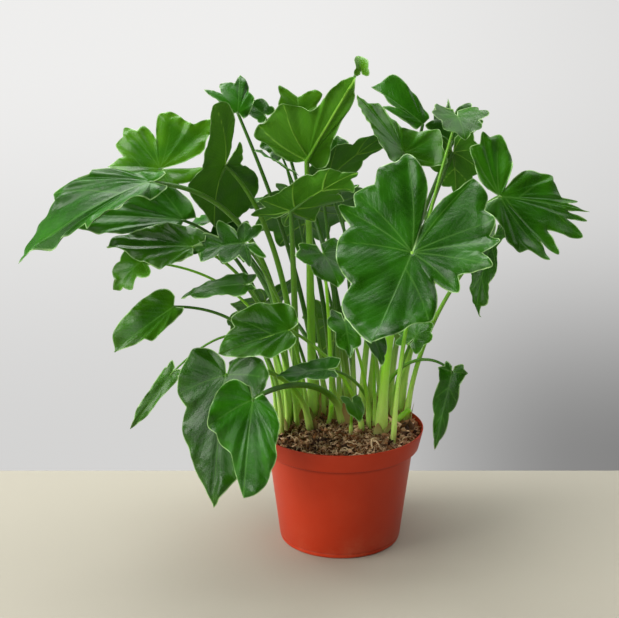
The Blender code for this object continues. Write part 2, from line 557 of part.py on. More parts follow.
def make_pot(plant, cutters):
    """Thin tapered tub with a stepped rim band, a rounded base edge and drain holes in its floor."""
    step = POT_HEIGHT - RIM_HEIGHT
    lip = POT_HEIGHT - EDGE_ROUND
    profile = inside(POT_WALL, POT_FLOOR) + [
        (rim_radius(lip) - POT_WALL, lip), (RIM_RADIUS - POT_WALL + EDGE_ROUND / 2, POT_HEIGHT),
        (RIM_RADIUS - EDGE_ROUND, POT_HEIGHT), (RIM_RADIUS, lip),
        (rim_radius(step + EDGE_ROUND), step + EDGE_ROUND), (rim_radius(step) - EDGE_ROUND, step),
        (tub_radius(step), step), (tub_radius(HEEL_ROUND), HEEL_ROUND),
        (tub_radius(0) - 0.3 * HEEL_ROUND, 0.3 * HEEL_ROUND), (tub_radius(0) - HEEL_ROUND, 0), (0, 0),
    ]
    obj = turned("pot", profile, POT_STEPS, plant)
    holes = []
    for i in range(DRAIN_COUNT):
        angle = 2 * math.pi * (i + 0.5) / DRAIN_COUNT
        centre = np.array([DRAIN_RING * math.cos(angle), DRAIN_RING * math.sin(angle), 0])
        through = np.array([0, 0, 2 * POT_FLOOR])
        holes.append((centre - through, centre + through, DRAIN_RADIUS, DRAIN_SIDES))
    drill(obj, holes, cutters)
    paint(obj, (0.50, 0.07, 0.03), 0.42)


def soil_height(x, y):
    """Height of the soil: a low dome with lumps from crossed waves."""
    dome = SOIL_DOME * (1 - (x * x + y * y) / RIM_RADIUS**2)
    lumps = np.sin(0.19 * x + 1.3) * np.sin(0.23 * y + 0.4) + 0.6 * np.sin(0.41 * x - 0.33 * y)
    return SOIL_EDGE + dome + SOIL_BUMP * lumps


def make_soil(plant, cutters, stalks):
    """Soil that fills the pot, its top lumpy, with one plain hole for each stalk."""
    wall = POT_WALL + SOIL_GAP
    edge = (rim_radius(SOIL_EDGE) - wall, SOIL_EDGE - EDGE_ROUND)
    top = [(r, SOIL_EDGE) for r in SOIL_RINGS]
    obj = turned("soil", inside(wall, POT_FLOOR + SOIL_GAP) + [edge] + top[::-1], SOIL_STEPS, plant)
    for vert in obj.data.vertices:
        x, y, z = np.array(vert.co) / MM
        if z > SOIL_EDGE - EDGE_ROUND / 2:
            vert.co.z = soil_height(x, y) * MM
    holes = []
    for foot, way, radius in stalks:
        wide = (radius + HOLE_GAP) / math.cos(math.pi / HOLE_SIDES)
        holes.append((foot - way * (FOOT_DEPTH + HOLE_GAP), foot + way * HOLE_REACH, wide, HOLE_SIDES))
    drill(obj, holes, cutters)
    paint(obj, (0.07, 0.04, 0.025), 0.95)


def make_stub(name, foot, top, radius, plant):
    """Cut stalk end: a short leaning taper with a flat top; gives back its hole."""
    foot = np.array([*foot, FOOT_HEIGHT])
    way = (np.array(top) - foot) / np.linalg.norm(np.array(top) - foot)
    points = np.array([foot - way * FOOT_DEPTH, foot + way * FOOT_RISE, np.array(top)])
    obj = tube(name, points, (radius, radius, radius * 0.75), 8, plant)
    paint(obj, (0.30, 0.48, 0.09), 0.45)
    return foot, way, radius


def shade(obj):
    """Smooth shading with the cut edges kept crisp."""
    obj.data.shade_smooth()
    obj.data.set_sharp_from_angle(angle=SHARP_ANGLE)


for old in list(bpy.data.objects):
    bpy.data.objects.remove(old)
plant = bpy.data.collections.new("potted_philodendron")
helpers = bpy.data.collections.new("helpers")
for collection in (plant, helpers):
    bpy.context.scene.collection.children.link(collection)

stalks = []
for leaf in LEAVES:
    make_leaf(leaf, plant, helpers)
    foot, _, way = stalk_start(leaf)
    stalks.append((foot, way, leaf.stalk * STALK_FLARE))
for stub in STUBS:
    stalks.append(make_stub(*stub, plant))
make_pot(plant, helpers)
make_soil(plant, helpers, stalks)
for obj in plant.objects:
    shade(obj)
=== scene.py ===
"""Potted philodendron, dressed: a turned plastic pot, loose potting mix, and leaves with their stalks.

Each leaf, the pot, the soil and each cut stalk end stands for the CAD node of the same name and keeps
its form. Sizes are in millimetres and degrees unless a line says otherwise.
"""
import math
from dataclasses import dataclass

import bmesh
import bpy
import numpy as np
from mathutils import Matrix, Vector


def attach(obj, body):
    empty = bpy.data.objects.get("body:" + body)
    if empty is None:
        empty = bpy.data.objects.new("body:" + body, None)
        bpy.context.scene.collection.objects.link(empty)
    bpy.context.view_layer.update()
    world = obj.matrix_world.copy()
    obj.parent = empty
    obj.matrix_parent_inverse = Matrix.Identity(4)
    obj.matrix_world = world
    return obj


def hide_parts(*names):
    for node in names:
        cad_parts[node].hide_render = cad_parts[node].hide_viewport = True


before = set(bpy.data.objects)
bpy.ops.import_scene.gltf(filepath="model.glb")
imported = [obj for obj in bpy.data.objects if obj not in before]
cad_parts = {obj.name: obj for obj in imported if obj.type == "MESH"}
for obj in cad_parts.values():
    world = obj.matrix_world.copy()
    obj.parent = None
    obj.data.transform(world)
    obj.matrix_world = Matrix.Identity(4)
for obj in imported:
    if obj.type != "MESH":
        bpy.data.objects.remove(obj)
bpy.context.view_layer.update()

# The pot: a thin tub of soft plastic, moulded in one piece, with a wider band round its mouth, a foot
# ring that it stands on, and drain holes in its floor. It carries the soil and all the leaves.

MM = 0.001
DEGREE = math.pi / 180
POT_HEIGHT = 121.0
RIM_HEIGHT = 20.0
RIM_RADIUS = 85.0
RIM_FOOT_RADIUS = 80.6
SHOULDER_RADIUS = 74.6
BASE_RADIUS = 62.0
POT_WALL = 1.6
POT_FLOOR = 2.0
FLOOR_FILLET = 2.0      # slant where the floor meets the inner wall
FLOOR_MIDDLE = 25.0     # radius of a ring of points in the flat floor
LIP_ROUND = 0.75
LEDGE_ROUND = 0.9
FOLD_ROUND = 0.5        # inner corner under the ledge
STEP_CORNER = 0.6       # slant where the inner wall steps out to the rim
HEEL_ROUND = 2.6
RING_HEIGHT = 5.2       # groove above the foot ring
RING_DEPTH = 0.35
RING_ABOVE, RING_BELOW = 0.5, 0.7
POT_STEPS = 256
DRAIN_COUNT = 8
DRAIN_RADIUS = 4.5
DRAIN_RING = 42.0
DRAIN_SIDES = 32
POT_CREASE = 40         # edges sharper than this stay sharp
WELD_GAP = 1e-6         # points closer than this, in metres, are one


class Wire:
    """An output socket as a number in Python: wire * 2 + 1 adds two Math nodes and gives the last one."""

    def __init__(self, home, socket):
        self.home = home
        self.socket = socket

    def sum(self, kind, *values, clamp=False):
        settings = {"operation": kind, "use_clamp": clamp}
        return self.home.node("ShaderNodeMath", settings, dict(enumerate(values)))

    def __add__(self, other):
        return self.sum("ADD", self, other)

    def __sub__(self, other):
        return self.sum("SUBTRACT", self, other)

    def __rsub__(self, other):
        return self.sum("SUBTRACT", other, self)

    def __mul__(self, other):
        return self.sum("MULTIPLY", self, other)

    def __truediv__(self, other):
        return self.sum("DIVIDE", self, other)

    __radd__ = __add__
    __rmul__ = __mul__

    def step(self, low, high):
        """0 below low, 1 above high and a smooth curve between; high may be the lower of the two."""
        settings = {"interpolation_type": "SMOOTHSTEP"}
        return self.home.node("ShaderNodeMapRange", settings, {0: self, 1: low, 2: high})

    def held(self):
        """Kept between 0 and 1."""
        return self.sum("ADD", self, 0.0, clamp=True)


class Nodes:
    """The nodes of one material or of the room."""

    def __init__(self, tree):
        self.tree = tree

    def feed(self, socket, value):
        if isinstance(value, Wire):
            self.tree.links.new(value.socket, socket)
        elif isinstance(value, tuple) and len(value) == 3 and socket.type == "RGBA":
            socket.default_value = (*value, 1)
        else:
            socket.default_value = value

    def node(self, kind, settings, sockets, output=0):
        """Any node: its type, its settings, then its sockets' values or wires."""
        made = self.tree.nodes.new(kind)
        for name, value in settings.items():
            setattr(made, name, value)
        for name, value in sockets.items():
            self.feed(made.inputs[name], value)
        return Wire(self, made.outputs[output])

    def mix(self, factor, first, second):
        """Colour between two colours."""
        return self.node("ShaderNodeMix", {"data_type": "RGBA"}, {0: factor, 6: first, 7: second}, 2)

    def place(self):
        """Object coordinates, in metres."""
        return self.node("ShaderNodeTexCoord", {}, {}, "Object")

    def value(self, name):
        """Number stored on the mesh under a name."""
        return self.node("ShaderNodeAttribute", {"attribute_name": name}, {}, "Fac")

    def vector(self, name):
        """Vector stored on the mesh under a name."""
        return self.node("ShaderNodeAttribute", {"attribute_name": name}, {}, "Vector")

    def stretched(self, vector, scale):
        """Vector with each axis scaled."""
        return self.node("ShaderNodeMapping", {}, {"Vector": vector, "Scale": scale})

    def noise(self, vector, scale, detail=3.0, rough=0.55):
        """Cloudy noise from about 0.3 to 0.7; scale in cells a metre."""
        sockets = {"Vector": vector, "Scale": scale, "Detail": detail, "Roughness": rough}
        return self.node("ShaderNodeTexNoise", {}, sockets)

    def cells(self, vector, scale, feature="F1", output="Distance"):
        """Voronoi cells; scale in cells a metre."""
        sockets = {"Vector": vector, "Scale": scale}
        return self.node("ShaderNodeTexVoronoi", {"feature": feature}, sockets, output)


class Finish(Nodes):
    """One material: a Principled BSDF and the nodes that feed it."""

    def __init__(self, name, roughness, **sockets):
        self.material = bpy.data.materials.new(name)
        self.material.use_nodes = True
        super().__init__(self.material.node_tree)
        self.shader = self.tree.nodes["Principled BSDF"]
        self.shader.inputs["Roughness"].default_value = roughness
        for socket, value in sockets.items():
            self.shader.inputs[socket.replace("_", " ")].default_value = value

    def colour(self, wire):
        self.feed(self.shader.inputs["Base Color"], wire)

    def rough(self, wire):
        self.feed(self.shader.inputs["Roughness"], wire)

    def bump(self, height, depth):
        """Relief from a height of 0 to 1 that stands depth metres high."""
        relief = self.node("ShaderNodeBump", {}, {"Height": height, "Distance": depth})
        self.feed(self.shader.inputs["Normal"], relief)


def add_piece(name, points, faces, finishes, values=None, picks=None):
    """Mesh object at the origin from points in millimetres and a face array of three or four columns.

    values holds a number or a vector for each point, picks the material's place for each face.
    """
    mesh = bpy.data.meshes.new(name)
    rows = [row for part in faces for row in part.tolist()]
    mesh.from_pydata((np.asarray(points) * MM).tolist(), [], rows)
    for key, array in (values or {}).items():
        array = np.asarray(array, np.float32)
        kind, field = ("FLOAT_VECTOR", "vector") if array.ndim == 2 else ("FLOAT", "value")
        mesh.attributes.new(key, kind, "POINT").data.foreach_set(field, array.ravel())
    for finish in finishes:
        mesh.materials.append(finish.material)
    if picks is not None:
        mesh.polygons.foreach_set("material_index", np.asarray(picks, np.int32))
    mesh.shade_smooth()
    mesh.validate()
    piece = bpy.data.objects.new(name, mesh)
    bpy.context.scene.collection.objects.link(piece)
    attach(piece, "root")
    return piece


def grid_faces(rows, columns, closed=False):
    """Quads of a grid whose points are numbered along each row; closed joins the last row to the first."""
    steps = rows if closed else rows - 1
    i, j = np.meshgrid(np.arange(steps), np.arange(columns - 1), indexing="ij")
    here, after = i * columns + j, (i + 1) % rows * columns + j
    return np.stack([here, after, after + 1, here + 1], -1).reshape(-1, 4)


def arc(centre, radius, start, end, count):
    """Points on an arc in the profile's plane, angles in degrees from the outward direction."""
    angle = np.linspace(start, end, count) * DEGREE
    return np.stack([centre[0] + radius * np.cos(angle), centre[1] + radius * np.sin(angle)], 1)


def turned(profile, steps):
    """Points and faces of a closed solid: the profile (radius, height) swept round Z.

    The profile runs from the axis out and back to the axis, so its two ends close as poles.
    """
    r, z = profile.T
    angle = np.arange(steps)[:, None] * 2 * math.pi / steps
    points = np.stack([r * np.cos(angle), r * np.sin(angle), z + 0 * angle], -1)
    return points.reshape(-1, 3), grid_faces(steps, len(profile), closed=True)


def weld(piece):
    """Join points that lie together, and drop the faces that this closes up."""
    bm = bmesh.new()
    bm.from_mesh(piece.data)
    bmesh.ops.remove_doubles(bm, verts=bm.verts, dist=WELD_GAP)
    bmesh.ops.dissolve_degenerate(bm, edges=bm.edges, dist=WELD_GAP)
    bm.to_mesh(piece.data)
    bm.free()


def tub_radius(z):
    """Outer radius of the tapered body at a height, straight from the base to the shoulder."""
    return BASE_RADIUS + (SHOULDER_RADIUS - BASE_RADIUS) * z / (POT_HEIGHT - RIM_HEIGHT)


def rim_radius(z):
    """Outer radius of the rim band at a height."""
    return RIM_RADIUS + (RIM_RADIUS - RIM_FOOT_RADIUS) * (z - POT_HEIGHT) / RIM_HEIGHT


def pot_profile():
    """The floor, the inner wall, the rounded lip, the rim band with its ledge, the tub and its foot ring."""
    step = POT_HEIGHT - RIM_HEIGHT
    lip = (RIM_RADIUS - LIP_ROUND, POT_HEIGHT - LIP_ROUND)
    heel = (tub_radius(0) - HEEL_ROUND, HEEL_ROUND)
    inner = [
        (0, POT_FLOOR), (FLOOR_MIDDLE, POT_FLOOR),
        (tub_radius(0) - POT_WALL - FLOOR_FILLET, POT_FLOOR),
        (tub_radius(POT_FLOOR) - POT_WALL, POT_FLOOR + FLOOR_FILLET),
        (tub_radius(step) - POT_WALL, step + POT_WALL),
        (rim_radius(step) - POT_WALL - STEP_CORNER, step + POT_WALL),
        (rim_radius(step) - POT_WALL, step + POT_WALL + STEP_CORNER),
        (rim_radius(POT_HEIGHT - 2 * LIP_ROUND) - POT_WALL, POT_HEIGHT - 2 * LIP_ROUND),
    ]
    ledge = (rim_radius(step) - LEDGE_ROUND, step + LEDGE_ROUND)
    fold = (tub_radius(step) + FOLD_ROUND, step - FOLD_ROUND)
    ring = [
        (tub_radius(RING_HEIGHT + RING_ABOVE), RING_HEIGHT + RING_ABOVE),
        (tub_radius(RING_HEIGHT) - RING_DEPTH, RING_HEIGHT),
        (tub_radius(RING_HEIGHT - RING_BELOW), RING_HEIGHT - RING_BELOW),
    ]
    return np.vstack([
        inner, arc(lip, LIP_ROUND, 150, 0, 9), arc(ledge, LEDGE_ROUND, -12, -90, 6),
        arc(fold, FOLD_ROUND, 90, 180, 4), ring, arc(heel, HEEL_ROUND, 0, -90, 8),
        [(FLOOR_MIDDLE, 0), (0, 0)],
    ])


def plastic():
    """Terracotta-red plastic, dyed through: a satin face with faint mould lines round it and a very
    little chalky dust low down. Painted shade darkens the fold under the rim band and the groove above
    the foot ring."""
    finish = Finish("terracotta_plastic", 0.42, Specular_IOR_Level=0.24)
    place = finish.place()
    height = finish.node("ShaderNodeSeparateXYZ", {}, {"Vector": place}, "Z")
    clouds = finish.noise(place, 28.0, 4.0)
    dust = (finish.noise(place, 90.0, 5.0, 0.7) * finish.noise(place, 14.0, 2.0) * 4.0 - 0.86).held()
    low = height.step(0.035, 0.0) * 0.3 + 0.04
    base = finish.mix(clouds, (0.46, 0.031, 0.0052), (0.54, 0.040, 0.0085))
    step, groove = (POT_HEIGHT - RIM_HEIGHT) * MM, RING_HEIGHT * MM
    # Painted shade: a dark band in the fold under the rim band and a fainter line in the groove above the
    # foot ring.
    fold = height.step(step - 0.0060, step - 0.0018) * height.step(step + 0.0010, step - 0.0002)
    ring = height.step(groove - 0.0016, groove - 0.0002) * height.step(groove + 0.0014, groove + 0.0002)
    base = finish.mix(fold * 0.55 + ring * 0.3, base, (0.14, 0.010, 0.003))
    finish.colour(finish.mix((dust * low).held(), base, (0.62, 0.20, 0.10)))
    finish.rough(0.38 + 0.10 * clouds + 0.2 * dust * low)
    lines = finish.noise(finish.stretched(place, (3.0, 3.0, 900.0)), 1.0, 2.0)
    grain = finish.noise(place, 1500.0, 2.0)
    finish.bump(lines * 0.6 + grain * 0.4, 0.00008)
    return finish


def cut_drains(pot):
    """Drain holes: upright cylinders on a ring, cut out of the floor one after the other."""
    for i in range(DRAIN_COUNT):
        angle = 2 * math.pi * (i + 0.5) / DRAIN_COUNT
        centre = (DRAIN_RING * math.cos(angle) * MM, DRAIN_RING * math.sin(angle) * MM, 0)
        bpy.ops.mesh.primitive_cylinder_add(vertices=DRAIN_SIDES, radius=DRAIN_RADIUS * MM,
                                            depth=4 * POT_FLOOR * MM, location=centre)
        cutter = bpy.context.object
        drain = pot.modifiers.new("drain", "BOOLEAN")
        drain.operation = "DIFFERENCE"
        drain.solver = "MANIFOLD"
        drain.object = cutter
        with bpy.context.temp_override(object=pot, active_object=pot):
            bpy.ops.object.modifier_apply(modifier="drain")
        bpy.data.objects.remove(cutter)


points, faces = turned(pot_profile(), POT_STEPS)
pot = add_piece("nursery_pot", points, [faces], [plastic()])
weld(pot)
cut_drains(pot)
pot.data.set_sharp_from_angle(angle=POT_CREASE * DEGREE)
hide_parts("pot")

# The soil: a peat and bark mix, dark and damp, that fills the pot to just under its lip. It is one
# body with a rough top, and loose crumbs, fibres and rootlets lie on it.

SOIL_EDGE = 115.5
SOIL_DOME = 5.0
SOIL_BUMP = 1.3
SOIL_SINK = 1.4                  # lowers the whole top to make room for the crumbly relief
CLOD_SIZE, CLOD_RISE = 17.0, 3.2
GRIT_SIZE, GRIT_RISE = 3.0, 0.5
SOIL_GAP = 0.4                   # between the soil and the pot
SOIL_CORNER = 0.9
SOIL_ROWS = 280
SOIL_GRAIN = 0.9
SOIL_REACH = 78.5                # crumbs lie inside this radius
CRUMBS = 4600
CRUMB_LEAST, CRUMB_MORE = 0.7, 2.5   # size of a crumb, and what its own draw adds
CRUMB_LONGER = 1.5
HEAP = (64, -2)                  # larger crumbs gather here, at the right
HEAP_SPREAD = 24
HEAP_GAIN = 1.1
FIBRES = 1200
FIBRE_LEAST, FIBRE_MORE = 5, 15  # length of a strand in the same way
FIBRE_THIN, FIBRE_THICK = 0.16, 0.26
FIBRE_TURN = 5.5                 # from one end to the other at most, half to each side, in radians
ARCH_LEAST, ARCH_MORE = 1.2, 3.0


def ripples(x, y, seed, size, octaves):
    """Cloudy height from -1 to 1: for each octave the mean of six sine waves in random directions, each
    half as long and 0.6 times as high as those of the octave before."""
    rng = np.random.default_rng(seed)
    total = np.zeros_like(x)
    for octave in range(octaves):
        angle = rng.random(6) * 2 * math.pi
        wave = 2 * math.pi / (size * 0.5**octave * (0.7 + 0.6 * rng.random(6)))
        lag = rng.random(6) * 2 * math.pi
        for a, k, p in zip(angle, wave, lag):
            total = total + 0.6**octave * np.sin(k * (x * math.cos(a) + y * math.sin(a)) + p) / 6
    return total


def soil_height(x, y):
    """A low dome, lumps from crossed waves, and clods and grit, each the size of a cloudy height."""
    r = np.hypot(x, y)
    dome = SOIL_DOME * (1 - r * r / RIM_RADIUS**2)
    lumps = np.sin(0.19 * x + 1.3) * np.sin(0.23 * y + 0.4) + 0.6 * np.sin(0.41 * x - 0.33 * y)
    clods = CLOD_RISE * np.abs(ripples(x, y, 5, CLOD_SIZE, 5))
    grit = GRIT_RISE * np.abs(ripples(x, y, 6, GRIT_SIZE, 2))
    return SOIL_EDGE + dome + SOIL_BUMP * lumps + (clods + grit) - SOIL_SINK


def soil_surface():
    """Closed body on a polar grid: the rough top, the wall just inside the pot, and a flat underside."""
    wall = POT_WALL + SOIL_GAP
    step = POT_HEIGHT - RIM_HEIGHT
    edge = rim_radius(SOIL_EDGE) - wall
    top = np.linspace(0, edge, int(edge / SOIL_GRAIN))
    side = np.array([
        (rim_radius(step) - wall, step + wall + STEP_CORNER),
        (rim_radius(step) - wall - SOIL_CORNER, step + wall),
        (tub_radius(step) - wall, step + wall),
        (tub_radius(POT_FLOOR) - wall, POT_FLOOR + FLOOR_FILLET + STEP_CORNER),
        (tub_radius(0) - wall - FLOOR_FILLET, POT_FLOOR + SOIL_GAP), (0, POT_FLOOR + SOIL_GAP),
    ])
    r = np.concatenate([top, side[:, 0]])
    z = np.concatenate([0 * top, side[:, 1]])
    angle = np.arange(SOIL_ROWS)[:, None] * 2 * math.pi / SOIL_ROWS
    x, y = r * np.cos(angle), r * np.sin(angle)
    height = np.where(z > 0, z, soil_height(x, y))
    faces = grid_faces(SOIL_ROWS, len(r), closed=True)[:, ::-1]
    return np.stack([x, y, height], -1).reshape(-1, 3), faces


def damp_peat():
    """Near-black damp peat with browner and ochre flecks of bark, quite dull, with a gritty relief."""
    finish = Finish("damp_peat", 0.92, Specular_IOR_Level=0.25)
    place = finish.place()
    grit = finish.cells(place, 620.0, output="Color")
    fleck = finish.node("ShaderNodeSeparateColor", {}, {"Color": grit}, "Red")
    patch = finish.noise(place, 60.0, 4.0)
    dark = finish.mix(patch, (0.016, 0.006, 0.002), (0.14, 0.062, 0.020))
    finish.colour(finish.mix(fleck.step(0.45, 0.90) * 0.85, dark, (0.60, 0.32, 0.13)))
    finish.bump(finish.noise(place, 900.0, 4.0, 0.7) + finish.cells(place, 420.0) * 0.8, 0.0012)
    return finish


points, faces = soil_surface()
soil = add_piece("soil_bed", points, [faces], [damp_peat()])
weld(soil)
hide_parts("soil")


def scatter(count, seed, reach):
    """Random places on the soil, even over its area."""
    rng = np.random.default_rng(seed)
    r = np.sqrt(rng.random(count)) * reach
    angle = rng.random(count) * 2 * math.pi
    return r * np.cos(angle), r * np.sin(angle), rng


def flecked_bark():
    """Crumbs of bark and peat, each with its own shade from dark brown to pale ochre."""
    finish = Finish("flecked_bark", 0.88, Specular_IOR_Level=0.3)
    shade = finish.value("shade")
    place = finish.place()
    grain = finish.noise(finish.stretched(place, (1.0, 1.0, 0.35)), 1400.0, 3.0)
    brown = finish.mix((shade * 1.8 - 0.1).held(), (0.026, 0.008, 0.002), (0.36, 0.14, 0.042))
    pale = finish.mix(((shade - 0.60) * 3.2).held(), brown, (1.0, 0.66, 0.40))
    finish.colour(finish.mix(grain * 0.3, pale, (0.14, 0.075, 0.040)))
    finish.bump(grain, 0.0004)
    return finish


def make_crumbs():
    """Crumbs: one eight-faced lump repeated, each jagged, stretched, turned, and sunk into the soil."""
    x, y, rng = scatter(CRUMBS, 11, SOIL_REACH)
    corner = np.array([(1, 0, 0), (-1, 0, 0), (0, 1, 0), (0, -1, 0), (0, 0, 1), (0, 0, -1)], float)
    face = np.array([(0, 2, 4), (2, 1, 4), (1, 3, 4), (3, 0, 4), (2, 0, 5), (1, 2, 5), (3, 1, 5), (0, 3, 5)])
    size = CRUMB_LEAST + CRUMB_MORE * rng.random(CRUMBS)**2.4
    heap = np.exp(-((x - HEAP[0])**2 + (y - HEAP[1])**2) / HEAP_SPREAD**2)
    size = size * (1 + HEAP_GAIN * heap)
    long = 1 + CRUMB_LONGER * rng.random(CRUMBS)
    jag = corner[None] * (0.7 + 0.6 * rng.random((CRUMBS, 6, 1)))
    jag = jag * np.stack([size * long, size, size * 0.7], 1)[:, None]
    yaw, tip = rng.random(CRUMBS) * 2 * math.pi, (rng.random(CRUMBS) - 0.5) * 1.6
    cy, sy, ct, st = (f[:, None] for f in (np.cos(yaw), np.sin(yaw), np.cos(tip), np.sin(tip)))
    px, py, pz = jag[..., 0] * ct - jag[..., 2] * st, jag[..., 1], jag[..., 0] * st + jag[..., 2] * ct
    places = np.stack([x[:, None] + px * cy - py * sy, y[:, None] + px * sy + py * cy,
                       (soil_height(x, y) + size * 0.25)[:, None] + pz], -1)
    faces = (face[None] + 6 * np.arange(CRUMBS)[:, None, None]).reshape(-1, 3)
    values = {"shade": np.repeat(rng.random(CRUMBS)**1.3, 6)}
    add_piece("soil_crumbs", places.reshape(-1, 3), [faces], [flecked_bark()], values)


def carried(path, radius, sides, flat=1.0):
    """Points of round tubes, many at once: path is tubes by stations by 3, radius the same without the 3.

    Each station's ring lies across the path's direction; flat narrows it in the upright direction.
    """
    way = np.gradient(path, axis=1)
    way /= np.linalg.norm(way, axis=2, keepdims=True) + 1e-9
    across = np.cross(way, (0.0, 0.0, 1.0))
    across /= np.linalg.norm(across, axis=2, keepdims=True) + 1e-9
    up = np.cross(across, way)
    angle = np.arange(sides) * 2 * math.pi / sides
    ring = across[:, :, None] * np.cos(angle)[:, None] + flat * up[:, :, None] * np.sin(angle)[:, None]
    return path[:, :, None] + ring * radius[:, :, None, None]


def tube_faces(tubes, stations, sides):
    """Walls of many tubes and their two end caps, facing out."""
    i, j = np.meshgrid(np.arange(stations - 1), np.arange(sides), indexing="ij")
    after = (j + 1) % sides
    wall = np.stack([i * sides + j, i * sides + after, (i + 1) * sides + after, (i + 1) * sides + j], -1)
    wall = wall.reshape(-1, 4)
    first = np.arange(sides)[::-1]
    last = (stations - 1) * sides + np.arange(sides)
    start = stations * sides * np.arange(tubes)[:, None, None]
    return [(part[None] + start).reshape(-1, part.shape[-1]) for part in (wall, first[None], last[None])]


def dry_fibre():
    """Dry coir and root fibre, straw to brown along a shade kept for each strand."""
    finish = Finish("dry_fibre", 0.8, Specular_IOR_Level=0.3)
    shade = finish.value("shade")
    fine = finish.noise(finish.place(), 900.0, 2.0)
    straw = finish.mix(shade, (0.30, 0.120, 0.042), (1.0, 0.76, 0.46))
    finish.colour(finish.mix(fine * 0.45, straw, (0.22, 0.13, 0.06)))
    finish.bump(fine, 0.0002)
    return finish


fibre = dry_fibre()


def make_fibres():
    """Fibres: thin curled strands; the heading turns steadily along each one, at a rate drawn for it."""
    x, y, rng = scatter(FIBRES, 23, SOIL_REACH - 1.5)
    stations, sides = 12, 5
    along = np.linspace(-0.5, 0.5, stations)
    length = FIBRE_LEAST + FIBRE_MORE * rng.random(FIBRES)**2
    heading = rng.random(FIBRES)[:, None] * 2 * math.pi
    heading = heading + along * (rng.random(FIBRES)[:, None] - 0.5) * FIBRE_TURN
    step = length[:, None] / stations
    px = x[:, None] + np.cumsum(np.cos(heading) * step, 1)
    py = y[:, None] + np.cumsum(np.sin(heading) * step, 1)
    far = np.maximum(np.hypot(px, py) / (SOIL_REACH + 1), 1)
    px, py = px / far, py / far
    arch = (ARCH_LEAST + ARCH_MORE * rng.random(FIBRES))[:, None] * np.sin(np.pi * (along + 0.5))**2
    path = np.stack([px, py, soil_height(px, py) + 0.1 + arch], -1)
    thick = FIBRE_THIN + FIBRE_THICK * rng.random(FIBRES)**2
    radius = thick[:, None] * (1 - 0.5 * np.abs(along * 2)**3)
    points = carried(path, radius, sides).reshape(-1, 3)
    values = {"shade": np.repeat(rng.random(FIBRES), stations * sides)}
    add_piece("soil_fibres", points, tube_faces(FIBRES, stations, sides), [fibre], values)


# The rootlets are thicker pale roots that have come up and curl over the soil near the front edge.
# Each is a place, a heading, how far it turns, its length, and how high it arches.
ROOTLETS = (
    ((34, -62), 60, -150, 34, 7), ((20, -70), 200, -200, 30, 6), ((44, -56), 110, -190, 28, 7),
    ((8, -68), 150, 170, 20, 3), ((-4, -58), 10, 120, 26, 4), ((-30, -60), 200, -140, 28, 3),
    ((-46, -50), 130, 110, 30, 4), ((62, -40), 30, -160, 26, 4), ((2, -46), 340, 100, 24, 6),
    ((-60, -34), 70, 120, 26, 4), ((70, -14), 120, -120, 24, 3), ((-20, 66), 20, 150, 30, 4),
    ((40, 60), 100, 140, 26, 4), ((-66, 20), 300, -150, 24, 4), ((26, -50), 250, 150, 22, 5),
    ((-14, -72), 170, -80, 22, 2), ((52, -52), 200, 100, 24, 3),
)


def make_rootlets():
    """Rootlets: tubes whose heading turns through the given angle, arched clear of the soil midway."""
    stations, sides = 22, 8
    s = np.linspace(0, 1, stations)
    spot, heading, turn, length, arch = (np.array(part, float) for part in zip(*ROOTLETS))
    angle = (heading[:, None] + turn[:, None] * (s - 0.5)) * DEGREE
    step = length[:, None] / stations
    px = spot[:, :1] + np.cumsum(np.cos(angle) * step, 1)
    py = spot[:, 1:] + np.cumsum(np.sin(angle) * step, 1)
    far = np.maximum(np.hypot(px, py) / (SOIL_REACH + 0.5), 1)
    px, py = px / far, py / far
    rise = arch[:, None] * np.sin(np.pi * s)**1.3 - 1.0
    path = np.stack([px, py, soil_height(px, py) + rise], -1)
    thick = np.linspace(1.05, 0.6, len(ROOTLETS))[:, None]
    radius = thick * (1 - 0.55 * s) * (1 + 0.12 * np.sin(40 * s))
    points = carried(path, radius, sides).reshape(-1, 3)
    values = {"shade": np.repeat(np.linspace(1.0, 0.6, len(ROOTLETS)), stations * sides)}
    faces = tube_faces(len(ROOTLETS), stations, sides)
    add_piece("soil_rootlets", points, faces, [fibre], values)


make_crumbs()
make_fibres()
make_rootlets()

# The leaves: each one is a stalk that stands in the soil and a lobed blade that grew in one piece with
# it. The veins run from the heart, where the two meet, and stand out below. Young leaves are yellower.

# Stalks.
FOOT_HEIGHT = 119.0    # where a stalk leaves the soil
FOOT_DEPTH = 15.0      # how deep it stands in the soil
FOOT_RISE = 9.0        # straight stretch above the soil
STALK_FLARE = 1.15
STALK_TAPER = 0.6
STALK_SINK = 0.9       # stalk's centre below the blade at the heart, in stalk radii
STALK_BULGE, BULGE_LENGTH = 0.28, 0.07              # thickening at the foot, and the share that it takes
STALK_GROOVE = 0.16
LEAN_ASIDE, LEAN_UP, LEAN_LATE = 0.12, 0.42, 0.26   # first bend, as shares of the way from foot to heart
NEAR_ASIDE, NEAR_UP, NEAR_LATE = 0.30, 0.22, 0.17   # second bend, as shares of the way back from the heart
NEAR_BOW = 0.9                                      # the second bend's share of the arch
RIB_FROM, RIB_TO = 0.03, 0.42                       # the stalk runs on under the midrib between these shares
RIB_THICK, RIB_THIN = 0.85, 0.12
RIB_SINK = 0.12
STALK_GRAIN = 5.0
STALK_SIDES = 14
# Painted shade: stalks that stand further back are made deeper green, as if the plant shades them.
BACK_STALK_SHADE = 0.014    # stalks are deeper green for each millimetre that they stand behind the middle

